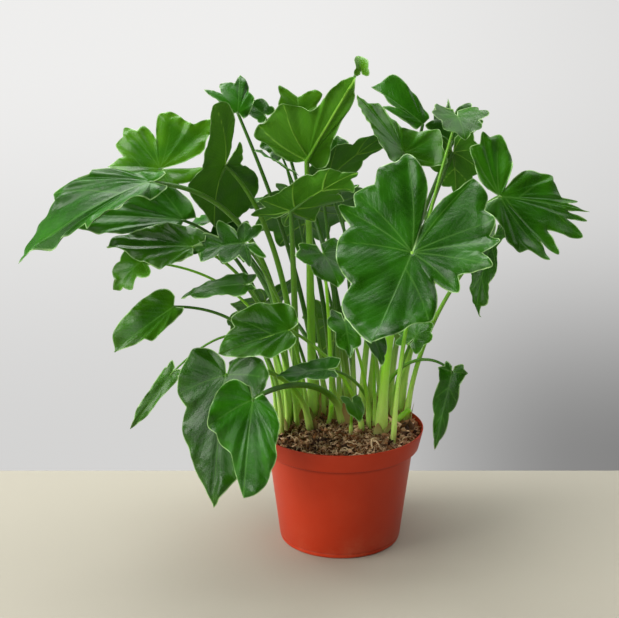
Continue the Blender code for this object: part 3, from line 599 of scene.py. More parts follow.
# Blades.
BLADE_GRAIN = 1.42                # spacing of the points
BLADE_THICK = 0.42
EDGE_THIN, EDGE_WIDTH = 0.45, 3   # share of the thickness left at the margin, and how far in it grows
BLADE_CREASE = 75                 # edges sharper than this stay sharp
SAME_POINT = 2e3                  # points that round to one step of this many in a millimetre are one
BATCH = 3000                      # points measured at a time
PILLOW, PILLOW_WIDTH = 0.9, 8     # swelling of the fields between main veins, and how far it takes to rise
QUILT = 0.035                     # swelling between side veins, on the longer blades
RIPPLE, RIPPLE_LENGTH = 5.2, 74   # broad waves, mostly upward, that grow towards the margin
FRILL, FRILL_LENGTH = 2.6, 26     # short waves at the margin alone
ROLL, ROLL_WIDTH = 1.2, 5         # the margin turns down
FOLD = 0.35                       # rise and fall with the lobes, as a share of a leaf's wave
LEAN = 0.9                        # tilt of each lobe by its own draw, as a share of a leaf's wave
KEEL, KEEL_MORE = 0.25, 1.3       # depth of a main vein below the blade at its end, and what the heart adds
VEIN_END, VEIN_MORE = 0.26, 0.50  # half width of a main vein in the same way
MIDRIB_WIDER = 1.25
MIDRIB_REACH, VEIN_REACH = 0.985, 0.97    # main veins stop short of the margin
VEIN_START, VEIN_START_MOST = 0.8, 0.66   # where on the midrib a lobe's vein leaves it
VEIN_BOW = 0.07
PEAK_LEAST = 0.16                 # reach of a lobe that has a vein, as a share of the blade's length
SIDE_STEP, SIDE_STEP_LEAST = 6.5, 1.0     # from one side vein to the next
SIDE_WIDTH = 0.55
SIDE_SLANT = 1.15                 # side veins slant forward
SIDE_SHIFT = 0.37                 # from one main vein to the next
OWN_YOUNG, OWN_PALE = 0.05, 0.3   # spread of a leaf's own draws

# The plain outline: across, in half widths, and along, in lengths ahead and in backs behind, at shares of
# the way round from the tip. The roots are where the side veins leave the midrib.
OUTLINE_AT = (0, 0.18, 0.36, 0.54, 0.72, 0.88, 1.0)
OUTLINE_ACROSS = (0, 0.40, 0.76, 0.98, 1.0, 0.66, 0.10)
OUTLINE_ALONG = (1.0, 0.84, 0.56, 0.20, -0.30, -0.98, -0.72)
ROOT_AT = (0, 0.18, 0.36, 0.54, 0.72, 1.0)
ROOT_ALONG = (0.80, 0.56, 0.30, 0.10, 0, 0)
LAST_LOBE = 0.44       # part of the rear lobe before it closes at the heart
LOBE_JITTER = 0.14
CUT_SHAPE = 1.6
NOTCH = 0.8            # crispness of the cuts of a margin given by points


@dataclass
class Leaf:
    """One leaf: where it grows, how it is turned, and the shape of its blade."""

    name: str
    foot: tuple      # x, y where the stalk leaves the soil
    heart: tuple     # x, y, z where the stalk meets the blade
    turn: tuple      # heading of the tip from X, its rise above level, roll about the midrib
    length: float    # heart to tip
    width: float
    back: float      # how far the two rear lobes reach behind the heart
    lobes: int = 5   # lobes on each side, the tip counted
    cut: float = 0.2     # depth of the cuts between lobes, as a share of the reach
    seed: int = 1
    droop: float = 10    # bend of the midrib towards the tip
    lift: float = 10     # bend of the rear lobes
    cup: float = 10      # bend across the blade
    wave: float = 0.05   # wave of the margin, as a share of the length
    bow: float = 10      # how far the stalk arches above a straight line
    late: float = 0      # 1 where the stalk stands upright before it turns outward
    stalk: float = 2.0   # stalk radius near the soil
    fan: float = 0       # 1 where all side veins start at the heart
    young: float = 0.05  # 1 on a new yellow-green blade
    pale: float = 0.4    # 1 on a pale stalk
    left: tuple = None   # left margin where the lobes differ: (angle from the tip, reach), two to a lobe
    right: tuple = None  # right margin in the same way


LEAVES = (
    Leaf("front_big", (41, -17), (62, -110, 331), (-103, -50, 0), 95, 150, 90, droop=-10, wave=0.03,
         bow=25, stalk=4.5, young=0, pale=0.8,
         left=((-14, 100), (-7, 92), (1, 80), (9, 74), (19, 74), (27, 64), (34, 50), (40, 36), (51, 60),
               (64, 50), (75, 66), (80, 78), (91, 65), (98, 82), (106, 72), (114, 82), (125, 77),
               (134, 88), (147, 91), (152, 72), (162, 48), (168, 22)),
         right=((14, 100), (28, 92), (43, 83), (54, 63), (67, 67), (79, 70), (94, 70), (110, 64),
                (119, 84), (126, 72), (134, 83), (147, 79), (155, 93), (164, 93), (171, 100), (178, 90),
                (183, 78), (187, 63), (189, 41), (192, 18))),
    Leaf("centre_tall", (-29, 25), (-34, 20, 393), (-60, 46, 35), 125, 130, 55, seed=2, droop=5, lift=20,
         wave=0.03, bow=0, stalk=4.2, young=0.15, pale=0.75,
         left=((0, 134), (3, 114), (6, 100), (8, 74), (12, 54), (24, 34), (60, 22), (120, 15)),
         right=((0, 134), (5, 117), (9, 98), (12, 76), (18, 69), (32, 66), (42, 71), (56, 62), (68, 58),
                (80, 60), (88, 58), (96, 43), (110, 26), (140, 14))),
    Leaf("centre_right", (-45, 16), (-50, -10, 349), (-35, 35, 35), 95, 70, 35, cut=0.24, seed=3, cup=20,
         stalk=3.6, pale=0.45),
    Leaf("left_mid", (-43, 32), (-114, -6, 393), (130, -55, 0), 58, 92, 66, seed=4, droop=30, lift=20,
         bow=5, late=0.5, stalk=3.4, young=0.1, pale=0.55,
         left=((0, 70), (13, 54), (36, 46), (54, 43), (72, 37), (84, 25), (112, 34), (140, 48),
               (156, 78), (166, 74), (174, 54), (177, 34), (180, 18)),
         right=((0, 70), (17, 73), (30, 73), (44, 76), (54, 66), (63, 61), (74, 34), (86, 20), (128, 20),
                (162, 28), (172, 15))),
    Leaf("left_upper", (-53, 46), (-180, 20, 384), (182, 5, 50), 56, 110, 45, seed=5, wave=0.06,
         late=0.7, stalk=2.6, young=0.5,
         left=((-2, 53), (10, 42), (26, 40), (38, 26), (61, 25), (92, 20), (121, 28), (142, 26),
               (165, 36), (182, 44), (190, 24)),
         right=((2, 53), (18, 40), (30, 54), (40, 52), (48, 59), (57, 48), (66, 51), (78, 34), (84, 60),
                (96, 63), (112, 58), (120, 58), (131, 75), (144, 55), (154, 46), (162, 22))),
    Leaf("left_far", (-54, 12), (-181, -54, 386), (190, -9, 30), 146, 52, 25, seed=6, droop=44, lift=30,
         cup=20, wave=0.04, bow=0, late=1, stalk=3.4, young=0.03, pale=0.3,
         left=((11, 148), (13, 132), (15, 116), (17, 101), (19, 92), (26, 75), (38, 80), (49, 70),
               (54, 46), (62, 32), (76, 20), (110, 18), (155, 14)),
         right=((-11, 148), (-2, 136), (7, 122), (13, 97), (18, 101), (22, 85), (26, 76), (29, 62),
                (33, 61), (38, 47), (48, 32), (70, 16), (119, 16), (170, 16))),
    Leaf("left_under", (-62, 33), (-154, -20, 341), (181, 2, 45), 126, 40, 18, seed=7, wave=0.03, bow=5,
         late=0.6, stalk=2.4, young=0.1,
         left=((-4, 128), (3, 111), (8, 87), (12, 74), (15, 62), (20, 49), (26, 37), (36, 25), (70, 14)),
         right=((4, 128), (8, 108), (13, 89), (17, 63), (27, 62), (36, 44), (52, 48), (67, 39), (88, 29),
                (125, 16), (155, 12))),
    Leaf("left_lower", (-57, 4), (-142, -62, 325), (176, 0, 45), 86, 42, 20, seed=8, bow=5, late=0.6,
         stalk=2.2, young=0.14,
         left=((-1, 85), (4, 68), (12, 58), (23, 47), (33, 39), (46, 29), (58, 16), (95, 10)),
         right=((1, 85), (8, 79), (14, 69), (20, 56), (30, 45), (42, 33), (66, 26), (92, 20), (118, 19),
                (150, 12))),
    Leaf("left_curl", (-54, -10), (-192, -60, 310), (200, -35, 30), 38, 42, 14, lobes=4, cut=0.34,
         seed=49, droop=30, cup=30, wave=0.1, bow=0, late=0.9, stalk=1.8, young=0.3),
    Leaf("left_hang", (-60, -20), (-160, -80, 271), (205, -28, 50), 70, 42, 10, seed=10, droop=20,
         wave=0.04, bow=0, late=0.9, stalk=2.1, young=0.2, pale=0.05,
         left=((0, 72), (4, 62), (10, 51), (16, 42), (24, 40), (33, 28), (45, 17), (85, 10), (140, 9)),
         right=((0, 72), (12, 64), (20, 55), (31, 41), (45, 33), (61, 26), (98, 20), (130, 10))),
    Leaf("left_flat", (-44, -1), (-93, -70, 290), (183, -2, 20), 64, 34, 12, lobes=4, cut=0.16, seed=11,
         droop=15, young=0.08, pale=0.35),
    Leaf("mid_spiky", (-33, 7), (-94, -60, 328), (185, -5, 40), 52, 56, 20, cut=0.44, seed=12, wave=0.08,
         bow=20),
    Leaf("lower_mid", (22, -14), (-50, -90, 251), (195, -12, 45), 74, 56, 14, seed=13, droop=20, lift=20,
         cup=20, stalk=2.2, young=0.13,
         left=((-2, 72), (6, 60), (13, 48), (23, 39), (37, 34), (55, 25), (77, 19), (105, 11)),
         right=((2, 72), (10, 66), (16, 62), (23, 53), (31, 57), (45, 47), (60, 40), (72, 31), (97, 27),
                (119, 22), (140, 14), (165, 10))),
    Leaf("hang_left", (-31, -11), (-112, -84, 204), (-108, -66, -5), 130, 78, 24, seed=14, cup=15,
         wave=0.04, bow=30, stalk=2.8, young=0.1, pale=0.3,
         left=((0, 128), (4, 117), (10, 103), (20, 86), (31, 68), (49, 56), (70, 48), (90, 52),
               (113, 42), (133, 30), (155, 18), (168, 12)),
         right=((0, 128), (4, 113), (12, 99), (20, 82), (35, 67), (46, 50), (62, 51), (81, 47),
                (104, 43), (121, 42), (134, 34), (154, 20), (170, 12))),
    Leaf("hang_front", (3, 8), (-84, -140, 199), (-102, -62, 5), 98, 66, 14, seed=15, droop=20, cup=15,
         wave=0.04, bow=25, stalk=3.6, young=0, pale=0.15,
         left=((-1, 92), (7, 87), (14, 79), (20, 68), (28, 58), (35, 47), (50, 37), (64, 27), (90, 14),
               (130, 10)),
         right=((1, 92), (5, 79), (9, 70), (18, 53), (30, 51), (42, 46), (53, 48), (67, 43), (82, 37),
                (102, 33), (132, 26), (150, 16), (165, 12))),
    Leaf("left_tiny", (-66, -2), (-169, -30, 187), (200, -50, 60), 70, 20, 10, lobes=4, cut=0.15,
         seed=16, wave=0.04, bow=70, late=0.9, stalk=1.6, young=0.15, pale=0.2),
    Leaf("small_right", (-9, 17), (-19, -60, 318), (-60, -30, 0), 40, 60, 18, lobes=4, seed=17, droop=20,
         wave=0.06, bow=20, young=0.1, pale=0.9),
    Leaf("small_mid", (29, -6), (1, -100, 263), (-80, -30, 0), 40, 34, 15, lobes=4, seed=18, droop=30,
         cup=20, wave=0.08, stalk=1.8),
    Leaf("centre_dark", (33, 13), (-15, -88, 211), (178, -5, 30), 50, 30, 12, lobes=4, cut=0.15, seed=19,
         stalk=1.8, young=0, pale=0.3),
    Leaf("soil_tiny", (10, -24), (11, -44, 162), (-60, -40, 0), 22, 24, 8, lobes=3, cut=0.15, seed=20,
         droop=20, bow=0, stalk=1.4, young=0.25),
    Leaf("right_low", (54, 14), (72, -20, 221), (40, 45, 0), 30, 46, 16, lobes=4, cut=0.26, seed=21,
         droop=20, stalk=2.2, young=0.2),
    Leaf("right_hang", (40, 26), (111, -20, 185), (-140, -74, 40), 84, 28, 11, cut=0.24, seed=22,
         bow=40),
    Leaf("right_mid", (62, 28), (147, -60, 373), (-8, -16, -52), 92, 120, 60, seed=23, droop=15, lift=15,
         wave=0.03, bow=40, stalk=3.6, young=0.08, pale=0.75,
         left=((12, 90), (15, 67), (18, 78), (21, 61), (26, 60), (36, 55), (41, 57), (50, 47), (62, 40),
               (69, 26), (74, 11), (80, 20), (86, 37), (96, 49), (106, 63), (115, 60), (121, 66),
               (127, 55), (136, 56), (146, 37), (165, 14)),
         right=((-12, 90), (-9, 68), (-6, 89), (-2, 68), (6, 88), (18, 55), (30, 78), (34, 58), (38, 77),
                (50, 60), (55, 58), (61, 53), (66, 46), (72, 33), (86, 23), (108, 24), (135, 16))),
    Leaf("right_fold", (22, 28), (61, 10, 402), (140, 50, 20), 74, 84, 40, seed=24, lift=20, cup=50,
         stalk=3.0, young=0.22, pale=0.6,
         left=((6, 76), (22, 55), (32, 40), (66, 33), (93, 26), (112, 24), (135, 12)),
         right=((-6, 76), (-2, 62), (8, 62), (12, 40), (17, 36), (26, 26), (62, 28), (78, 36), (88, 43),
                (114, 40), (138, 45), (150, 28), (170, 12))),
    Leaf("top_leaf", (31, 43), (82, 46, 424), (170, 35, 50), 62, 46, 15, seed=25, droop=20, cup=15,
         wave=0.03, stalk=2.6, pale=0.5,
         left=((-6, 67), (-4, 51), (0, 42), (2, 33), (8, 45), (18, 28), (34, 14), (75, 8)),
         right=((6, 67), (16, 62), (27, 61), (33, 52), (38, 38), (45, 30), (58, 18), (98, 10))),
    Leaf("top_curl", (-30, 66), (19, 46, 478), (100, 60, 0), 20, 18, 8, lobes=3, cut=0.15, seed=26,
         droop=30, cup=60, wave=0.08, bow=-130, late=2.4, young=0.7),
    Leaf("right_spiky", (42, 57), (113, 54, 406), (85, 55, 0), 42, 52, 12, seed=27, wave=0.06, stalk=2.8,
         left=((7, 50), (16, 30), (24, 45), (40, 31), (58, 33), (72, 19), (105, 11)),
         right=((-7, 50), (-2, 26), (20, 49), (34, 22), (54, 37), (74, 19), (95, 12), (135, 10))),
    Leaf("right_behind", (52, 42), (111, 30, 399), (70, -60, 0), 50, 56, 26, cut=0.22, seed=28, droop=20,
         bow=20, stalk=2.8),
    Leaf("right_lower", (68, 12), (149, -10, 323), (215, -66, 0), 84, 48, 20, cut=0.22, seed=29,
         droop=20, bow=20, stalk=2.4),
    Leaf("top_left", (-22, 45), (-104, 60, 434), (100, 60, 0), 40, 46, 15, seed=30, droop=20, wave=0.08,
         stalk=2.6,
         left=((-8, 47), (0, 34), (20, 39), (34, 26), (50, 41), (58, 24), (70, 16), (105, 9)),
         right=((8, 47), (18, 38), (24, 34), (32, 25), (51, 23), (72, 16), (102, 11), (146, 9))),
    Leaf("back_top", (-6, 56), (-56, 90, 399), (110, 40, 0), 50, 56, 24, cut=0.24, seed=31, droop=30,
         wave=0.06, stalk=2.6),
    Leaf("inner_right", (0, 36), (-20, 50, 364), (8, 40, 58), 88, 50, 14, cut=0.18, seed=34, wave=0.04,
         stalk=2.4),
    Leaf("behind_tall", (44, 48), (-43, 90, 427), (95, 62, 0), 30, 62, 10, seed=51, wave=0.04, young=0.4,
         left=((0, 20), (14, 26), (30, 38), (42, 27), (60, 24), (84, 18), (120, 10)),
         right=((0, 20), (16, 24), (34, 33), (48, 34), (62, 22), (84, 18), (120, 10))),
    Leaf("dark_behind", (-16, 32), (-54, 44, 380), (184, 35, -10), 38, 40, 14, lobes=4, seed=52,
         stalk=1.8),
    Leaf("jag_right", (16, 40), (-5, 70, 386), (80, 60, 0), 26, 34, 10, lobes=4, cut=0.3, seed=53,
         stalk=1.8),
    Leaf("edge_left", (8, 48), (-78, 70, 431), (150, 30, 50), 26, 26, 8, lobes=3, seed=54, droop=20,
         cup=30, stalk=1.6),
    Leaf("left_dark", (-28, 56), (-105, 54, 303), (185, -8, 50), 50, 56, 14, cut=0.36, seed=55,
         stalk=1.8),
    Leaf("right_cap", (52, -40), (111, 0, 440), (-80, -20, 0), 36, 56, 16, lobes=4, seed=57, droop=20,
         cup=20, young=0.1),
    Leaf("low_right", (35, -2), (29, -60, 236), (-60, -40, 0), 32, 26, 10, lobes=3, seed=35, droop=20,
         wave=0.08, stalk=1.6),
    Leaf("back_left", (-39, 58), (-133, 102, 316), (165, -20, 0), 100, 116, 50, lobes=6, cut=0.26,
         seed=41, droop=30, lift=15, bow=25, stalk=3.4, fan=0.3),
    Leaf("back_mid", (9, 60), (-31, 150, 319), (97, -25, 0), 116, 130, 60, lobes=6, cut=0.26, seed=42,
         droop=30, lift=15, bow=25, stalk=3.8, fan=0.3),
    Leaf("back_right", (33, 64), (88, 116, 315), (33, -20, 0), 105, 120, 55, lobes=6, cut=0.26, seed=43,
         droop=30, lift=15, bow=25, stalk=3.4, fan=0.3),
    Leaf("back_low_left", (-14, 68), (-80, 120, 220), (125, -40, 0), 85, 80, 35, cut=0.22, seed=44,
         droop=25, lift=15, bow=30, stalk=2.6),
    Leaf("back_low_right", (52, 54), (61, 110, 223), (60, -45, 0), 80, 74, 30, cut=0.22, seed=45,
         droop=25, lift=15, bow=30, stalk=2.4),
    Leaf("back_low_mid", (16, 70), (-3, 150, 189), (95, -50, 0), 80, 70, 30, seed=46, droop=25, lift=15,
         bow=40, stalk=2.4),
)


def smooth(at, knots, values):
    """Cubic curve through the knots, with each slope taken from its two neighbours."""
    knots, values = np.asarray(knots, float), np.asarray(values, float)
    slope = np.gradient(values, knots)
    i = np.clip(np.searchsorted(knots, at, side="right") - 1, 0, len(knots) - 2)
    step = knots[i + 1] - knots[i]
    s = (at - knots[i]) / step
    start = (2 * s**3 - 3 * s**2 + 1) * values[i] + (s**3 - 2 * s**2 + s) * step * slope[i]
    end = (3 * s**2 - 2 * s**3) * values[i + 1] + (s**3 - s**2) * step * slope[i + 1]
    return start + end


def scalloped(at, values, notch=0.0):
    """Curve through values at 0, 1, 2 and so on that never swings past them.

    The slope is the harmonic mean of the two neighbouring steps and 0 at a peak. At a low point each side
    keeps a share of its own step, so the curve has a crisp notch there.
    """
    values = np.asarray(values, float)
    rise = np.diff(values)
    before, after = np.append(rise[:1], rise), np.append(rise, rise[-1:])
    same = before * after > 0
    mean = np.where(same, 2 * before * after / np.where(same, before + after, 1), 0)
    low = (before < 0) & (after > 0)
    leave, arrive = np.where(low, notch * after, mean), np.where(low, notch * before, mean)
    i = np.clip(np.floor(at).astype(int), 0, len(values) - 2)
    s = at - i
    start = (2 * s**3 - 3 * s**2 + 1) * values[i] + (s**3 - 2 * s**2 + s) * leave[i]
    return start + (3 * s**2 - 2 * s**3) * values[i + 1] + (s**3 - s**2) * arrive[i + 1]


def margin_knots(leaf):
    """Lobe count where the margin's given points or lobe tips and cuts lie, left side negative."""
    if leaf.left:
        left, right = (np.arange(len(edge)) / 2 for edge in (leaf.left, leaf.right))
    else:
        last = leaf.lobes - 1 + LAST_LOBE
        left = right = np.append(np.arange(0, last - 0.1, 0.5), last)
    return np.concatenate([-left[::-1], right[1:]])


def vein_root(leaf, v):
    """Where on the midrib a side vein starts, v from the tip to the rear lobe; rear ones at the heart."""
    if leaf.left:
        return np.zeros_like(v)
    return np.maximum(smooth(v, ROOT_AT, ROOT_ALONG), 0) * leaf.length * (1 - leaf.fan)


def margin(leaf, c):
    """Margin of the flat blade at each lobe count: across, along, and how far round it is, 0 to 1.

    A leaf with margins of its own follows their angles and reaches. Any other has the plain outline,
    with each lobe's reach drawn at random and each cut a cusp between two lobes.
    """
    count = np.abs(c)
    side = (c >= 0).astype(int)
    if leaf.left:
        across, along, v = np.zeros_like(c), np.zeros_like(c), np.zeros_like(c)
        for edge, sign, here in ((leaf.left, -1, c < 0), (leaf.right, 1, c >= 0)):
            knots = np.array(edge, float)
            at = np.minimum(count[here] * 2, len(knots) - 1)
            angle = scalloped(at, knots[:, 0]) * DEGREE
            reach = scalloped(at, knots[:, 1], NOTCH)
            across[here] = sign * reach * np.sin(angle)
            along[here] = reach * np.cos(angle)
            v[here] = at / (len(knots) - 1)
        return across, along, v
    rng = np.random.default_rng(leaf.seed)
    reach = 1 + LOBE_JITTER * (rng.random((2, leaf.lobes + 2)) * 2 - 1)
    reach[:, 0] = 1
    cut = leaf.cut * (1 + 0.5 * (rng.random((2, leaf.lobes + 2)) * 2 - 1))
    v = count / (leaf.lobes - 1 + LAST_LOBE)
    across = smooth(v, OUTLINE_AT, OUTLINE_ACROSS) * leaf.width / 2 * np.sign(c)
    along = smooth(v, OUTLINE_AT, OUTLINE_ALONG)
    along = np.where(along > 0, along * leaf.length, along * leaf.back)
    nearest = np.round(count).astype(int)
    below = np.floor(count).astype(int)
    off = np.minimum(2 * np.abs(count - nearest), 1)
    between = (reach[side, below] + reach[side, below + 1]) / 2
    size = reach[side, nearest] * (1 - off) + between * off
    size *= 1 - cut[side, below] * off**CUT_SHAPE
    root = vein_root(leaf, v)
    return size * across, root + size * (along - root), v


def axes(leaf):
    """Columns: across the blade to its right, along the midrib to the tip, and out of the upper face."""
    heading, rise, roll = (angle * DEGREE for angle in leaf.turn)
    ahead, aside = math.cos(heading), math.sin(heading)
    tip = np.array([ahead * math.cos(rise), aside * math.cos(rise), math.sin(rise)])
    up = np.array([-ahead * math.sin(rise), -aside * math.sin(rise), math.cos(rise)])
    right = np.cross(tip, up)
    turned_right = right * math.cos(roll) + up * math.sin(roll)
    face = up * math.cos(roll) - right * math.sin(roll)
    return np.stack([turned_right, tip, face], 1)


def nearest_on(points, line):
    """Distance from each flat point to a chain of points, and the share of the chain passed at the nearest.

    Each point is dropped square onto every stretch of the chain, held between the stretch's two ends.
    """
    start, step = line[:-1], np.diff(line, axis=0)
    long = np.hypot(*step.T)
    passed = np.concatenate([[0], np.cumsum(long)])
    best, share = np.empty(len(points)), np.empty(len(points))
    for first in range(0, len(points), BATCH):
        here = points[first:first + BATCH, None] - start
        s = np.clip((here * step).sum(-1) / (long**2 + 1e-12), 0, 1)
        gap = np.hypot(*(here - s[..., None] * step).transpose(2, 0, 1))
        pick = gap.argmin(1)
        rows = np.arange(len(pick))
        best[first:first + BATCH] = gap[rows, pick]
        share[first:first + BATCH] = (passed[pick] + s[rows, pick] * long[pick]) / passed[-1]
    return best, share


def vein_ends(leaf, long):
    """Lobe counts where the lobes' veins end: each lobe tip, or each far peak of a margin of its own."""
    if not leaf.left:
        return [sign * k for sign in (-1, 1) for k in range(1, leaf.lobes)]
    ends = []
    for edge, sign in ((leaf.left, -1), (leaf.right, 1)):
        reach = [point[1] for point in edge]
        ends += [sign * i / 2 for i in range(1, len(reach) - 1)
                 if reach[i] >= reach[i - 1] and reach[i] > reach[i + 1] and reach[i] > PEAK_LEAST * long]
    return ends


def main_veins(leaf):
    """The midrib, then a vein to each lobe, as chains of points on the flat blade.

    A lobe's vein leaves the midrib well below the lobe, or at the heart, and bows a little to the rear.
    """
    tip = np.array(margin(leaf, np.zeros(1))[:2])[:, 0]
    long = np.hypot(*tip)
    ahead = tip / long
    s = np.linspace(0, 1, 14)[:, None]
    chains = [ahead * long * MIDRIB_REACH * s]
    for place in np.stack(margin(leaf, np.array(vein_ends(leaf, long), float))[:2], 1):
        along = place @ ahead
        aside = abs(place[0] * ahead[1] - place[1] * ahead[0])
        start = ahead * min(max(along - aside, 0) * VEIN_START, VEIN_START_MOST * long)
        span = place * VEIN_REACH - start
        back = np.array([span[1], -span[0]]) * (1 if place[0] * ahead[1] > place[1] * ahead[0] else -1)
        bend = start + span * 0.5 + back * VEIN_BOW
        chains.append((1 - s)**2 * start + 2 * (1 - s) * s * bend + s**2 * (start + span))
    return chains


def blade_grid(leaf):
    """The flat blade on a grid, one row a side vein from the midrib out, with even steps round the margin.

    Gives each row's lobe count, how far out each point is from 0 to 1, the flat points, and their distance
    from the margin. Points crowd a little towards the margin.
    """
    knots = margin_knots(leaf)
    trial = np.interp(np.linspace(0, len(knots) - 1, 20 * len(knots)), np.arange(len(knots)), knots)
    step = np.hypot(*np.diff(np.stack(margin(leaf, trial)[:2]), axis=1))
    passed = np.concatenate([[0], np.cumsum(step)])
    rows = max(int(passed[-1] / BLADE_GRAIN), 24)
    even = np.interp(np.linspace(0, passed[-1], rows), passed, trial)
    c = np.union1d(even, knots)
    across, along, v = margin(leaf, c)
    root = vein_root(leaf, v)
    columns = max(int(np.hypot(across, along - root).max() / BLADE_GRAIN), 10)
    out = np.meshgrid(1 - (1 - np.linspace(0, 1, columns))**1.3, c)[0]
    flat = np.stack([out * across[:, None], root[:, None] + out * (along - root)[:, None]], -1)
    outline = np.vstack([[0, 0], np.stack([across, along], 1), [0, 0]])
    edge = nearest_on(flat.reshape(-1, 2), outline)[0].reshape(out.shape)
    edge[:, -1] = 0
    return c, out, flat, edge


def vein_relief(leaf, flat, edge, size):
    """Main and side veins as masks from 0 to 1, the depth of the keel below, and the swelling above.

    A main vein is a bell over the distance to its chain, wider at the heart. Side veins are bells at even
    steps along it, slanted forward. The blade swells away from both and turns down at the margin.
    """
    spots, edge = flat.reshape(-1, 2), edge.ravel()
    chains = main_veins(leaf)
    gaps, shares = (np.array(part) for part in zip(*(nearest_on(spots, chain) for chain in chains)))
    pick = gaps.argmin(0)
    each = np.arange(len(pick))
    near, share = gaps[pick, each], shares[pick, each]
    second = np.sort(np.vstack([gaps, np.full(len(spots), leaf.length)]), 0)[1]
    lengths = np.array([np.hypot(*np.diff(chain, axis=0).T).sum() for chain in chains])
    wide = size * (VEIN_END + VEIN_MORE * (1 - share)) * np.where(pick == 0, MIDRIB_WIDER, 1)
    vein = np.exp(-(near / wide)**2)
    step = SIDE_STEP * size + SIDE_STEP_LEAST
    phase = (share * lengths[pick] - SIDE_SLANT * near) / step + SIDE_SHIFT * pick
    fade = np.clip((second - near) / 4, 0, 1) * np.clip(near / 2, 0, 1)
    side = np.exp(-((0.5 - np.abs(phase % 1 - 0.5)) * step / SIDE_WIDTH)**2) * fade
    quilt = QUILT * np.clip(leaf.length / 60 - 0.3, 0, 1)
    swell = PILLOW * size * (1 - np.exp(-(near / (PILLOW_WIDTH * size))**2))
    swell = (swell - quilt * np.cos(2 * np.pi * phase) * fade) * np.clip(edge / 8, 0, 1)
    swell = swell - ROLL * size * np.clip(1 - edge / ROLL_WIDTH, 0, 1)**2
    keel = size * (KEEL + KEEL_MORE * (1 - share)**1.5) * np.exp(-(near / (0.9 * wide))**2)
    return vein, side, keel, swell


def lobe_waves(leaf, c, out, flat, size):
    """Height of the blade's waves: it folds with the lobes, each lobe leans by its own draw, and two cloudy
    heights ripple the blade and frill its margin."""
    tilt = np.random.default_rng(leaf.seed + 100).random((2, 12)) * 2 - 1
    side = (c >= 0).astype(int)
    count = np.abs(c)
    below = np.floor(count).astype(int)
    part = count - below
    lean = tilt[side, below] * (1 - part) + tilt[side, below + 1] * part
    wave = leaf.wave * leaf.length
    z = -FOLD * wave * out**2.2 * np.cos(2 * np.pi * count)[:, None] + LEAN * wave * out**2 * lean[:, None]
    roll = ripples(flat[..., 0], flat[..., 1], leaf.seed, RIPPLE_LENGTH * size, 2)
    frill = ripples(flat[..., 0], flat[..., 1], leaf.seed + 60, FRILL_LENGTH * size, 2)
    return z, RIPPLE * size * out**1.5 * np.where(roll < 0, 0.4 * roll, roll), FRILL * size * out**9 * frill


def bent(leaf, x, y, z):
    """The blade bent across the midrib and then along it. Each bend is an arc: x goes to
    sin(bend x) / bend, and the height is carried square to the arc."""
    bend = leaf.cup * DEGREE / (leaf.width / 2)
    angle = bend * np.abs(x)
    x = np.sign(x) * (np.sin(angle) / bend - z * np.sin(angle))
    z = (1 - np.cos(angle)) / bend + z * np.cos(angle)
    curl = np.where(y > 0, leaf.droop * DEGREE / leaf.length, -leaf.lift * DEGREE / leaf.back)
    angle = curl * y
    return x, np.sin(angle) / curl + z * np.sin(angle), -(1 - np.cos(angle)) / curl + z * np.cos(angle)


def blade_surface(leaf):
    """Middle surface of the blade on its grid, the flat points under it, and the values it stores."""
    c, out, flat, edge = blade_grid(leaf)
    size = np.clip(leaf.length / 90, 0.45, 1.15)
    vein, side, keel, swell = (part.reshape(out.shape) for part in vein_relief(leaf, flat, edge, size))
    lobes, ripple, frill = lobe_waves(leaf, c, out, flat, size)
    z = lobes + swell + ripple + frill
    points = np.array(leaf.heart) + np.stack(bent(leaf, flat[..., 0], flat[..., 1], z), -1) @ axes(leaf).T
    return points, flat, {"vein": vein, "side": side, "edge": edge, "keel": keel}


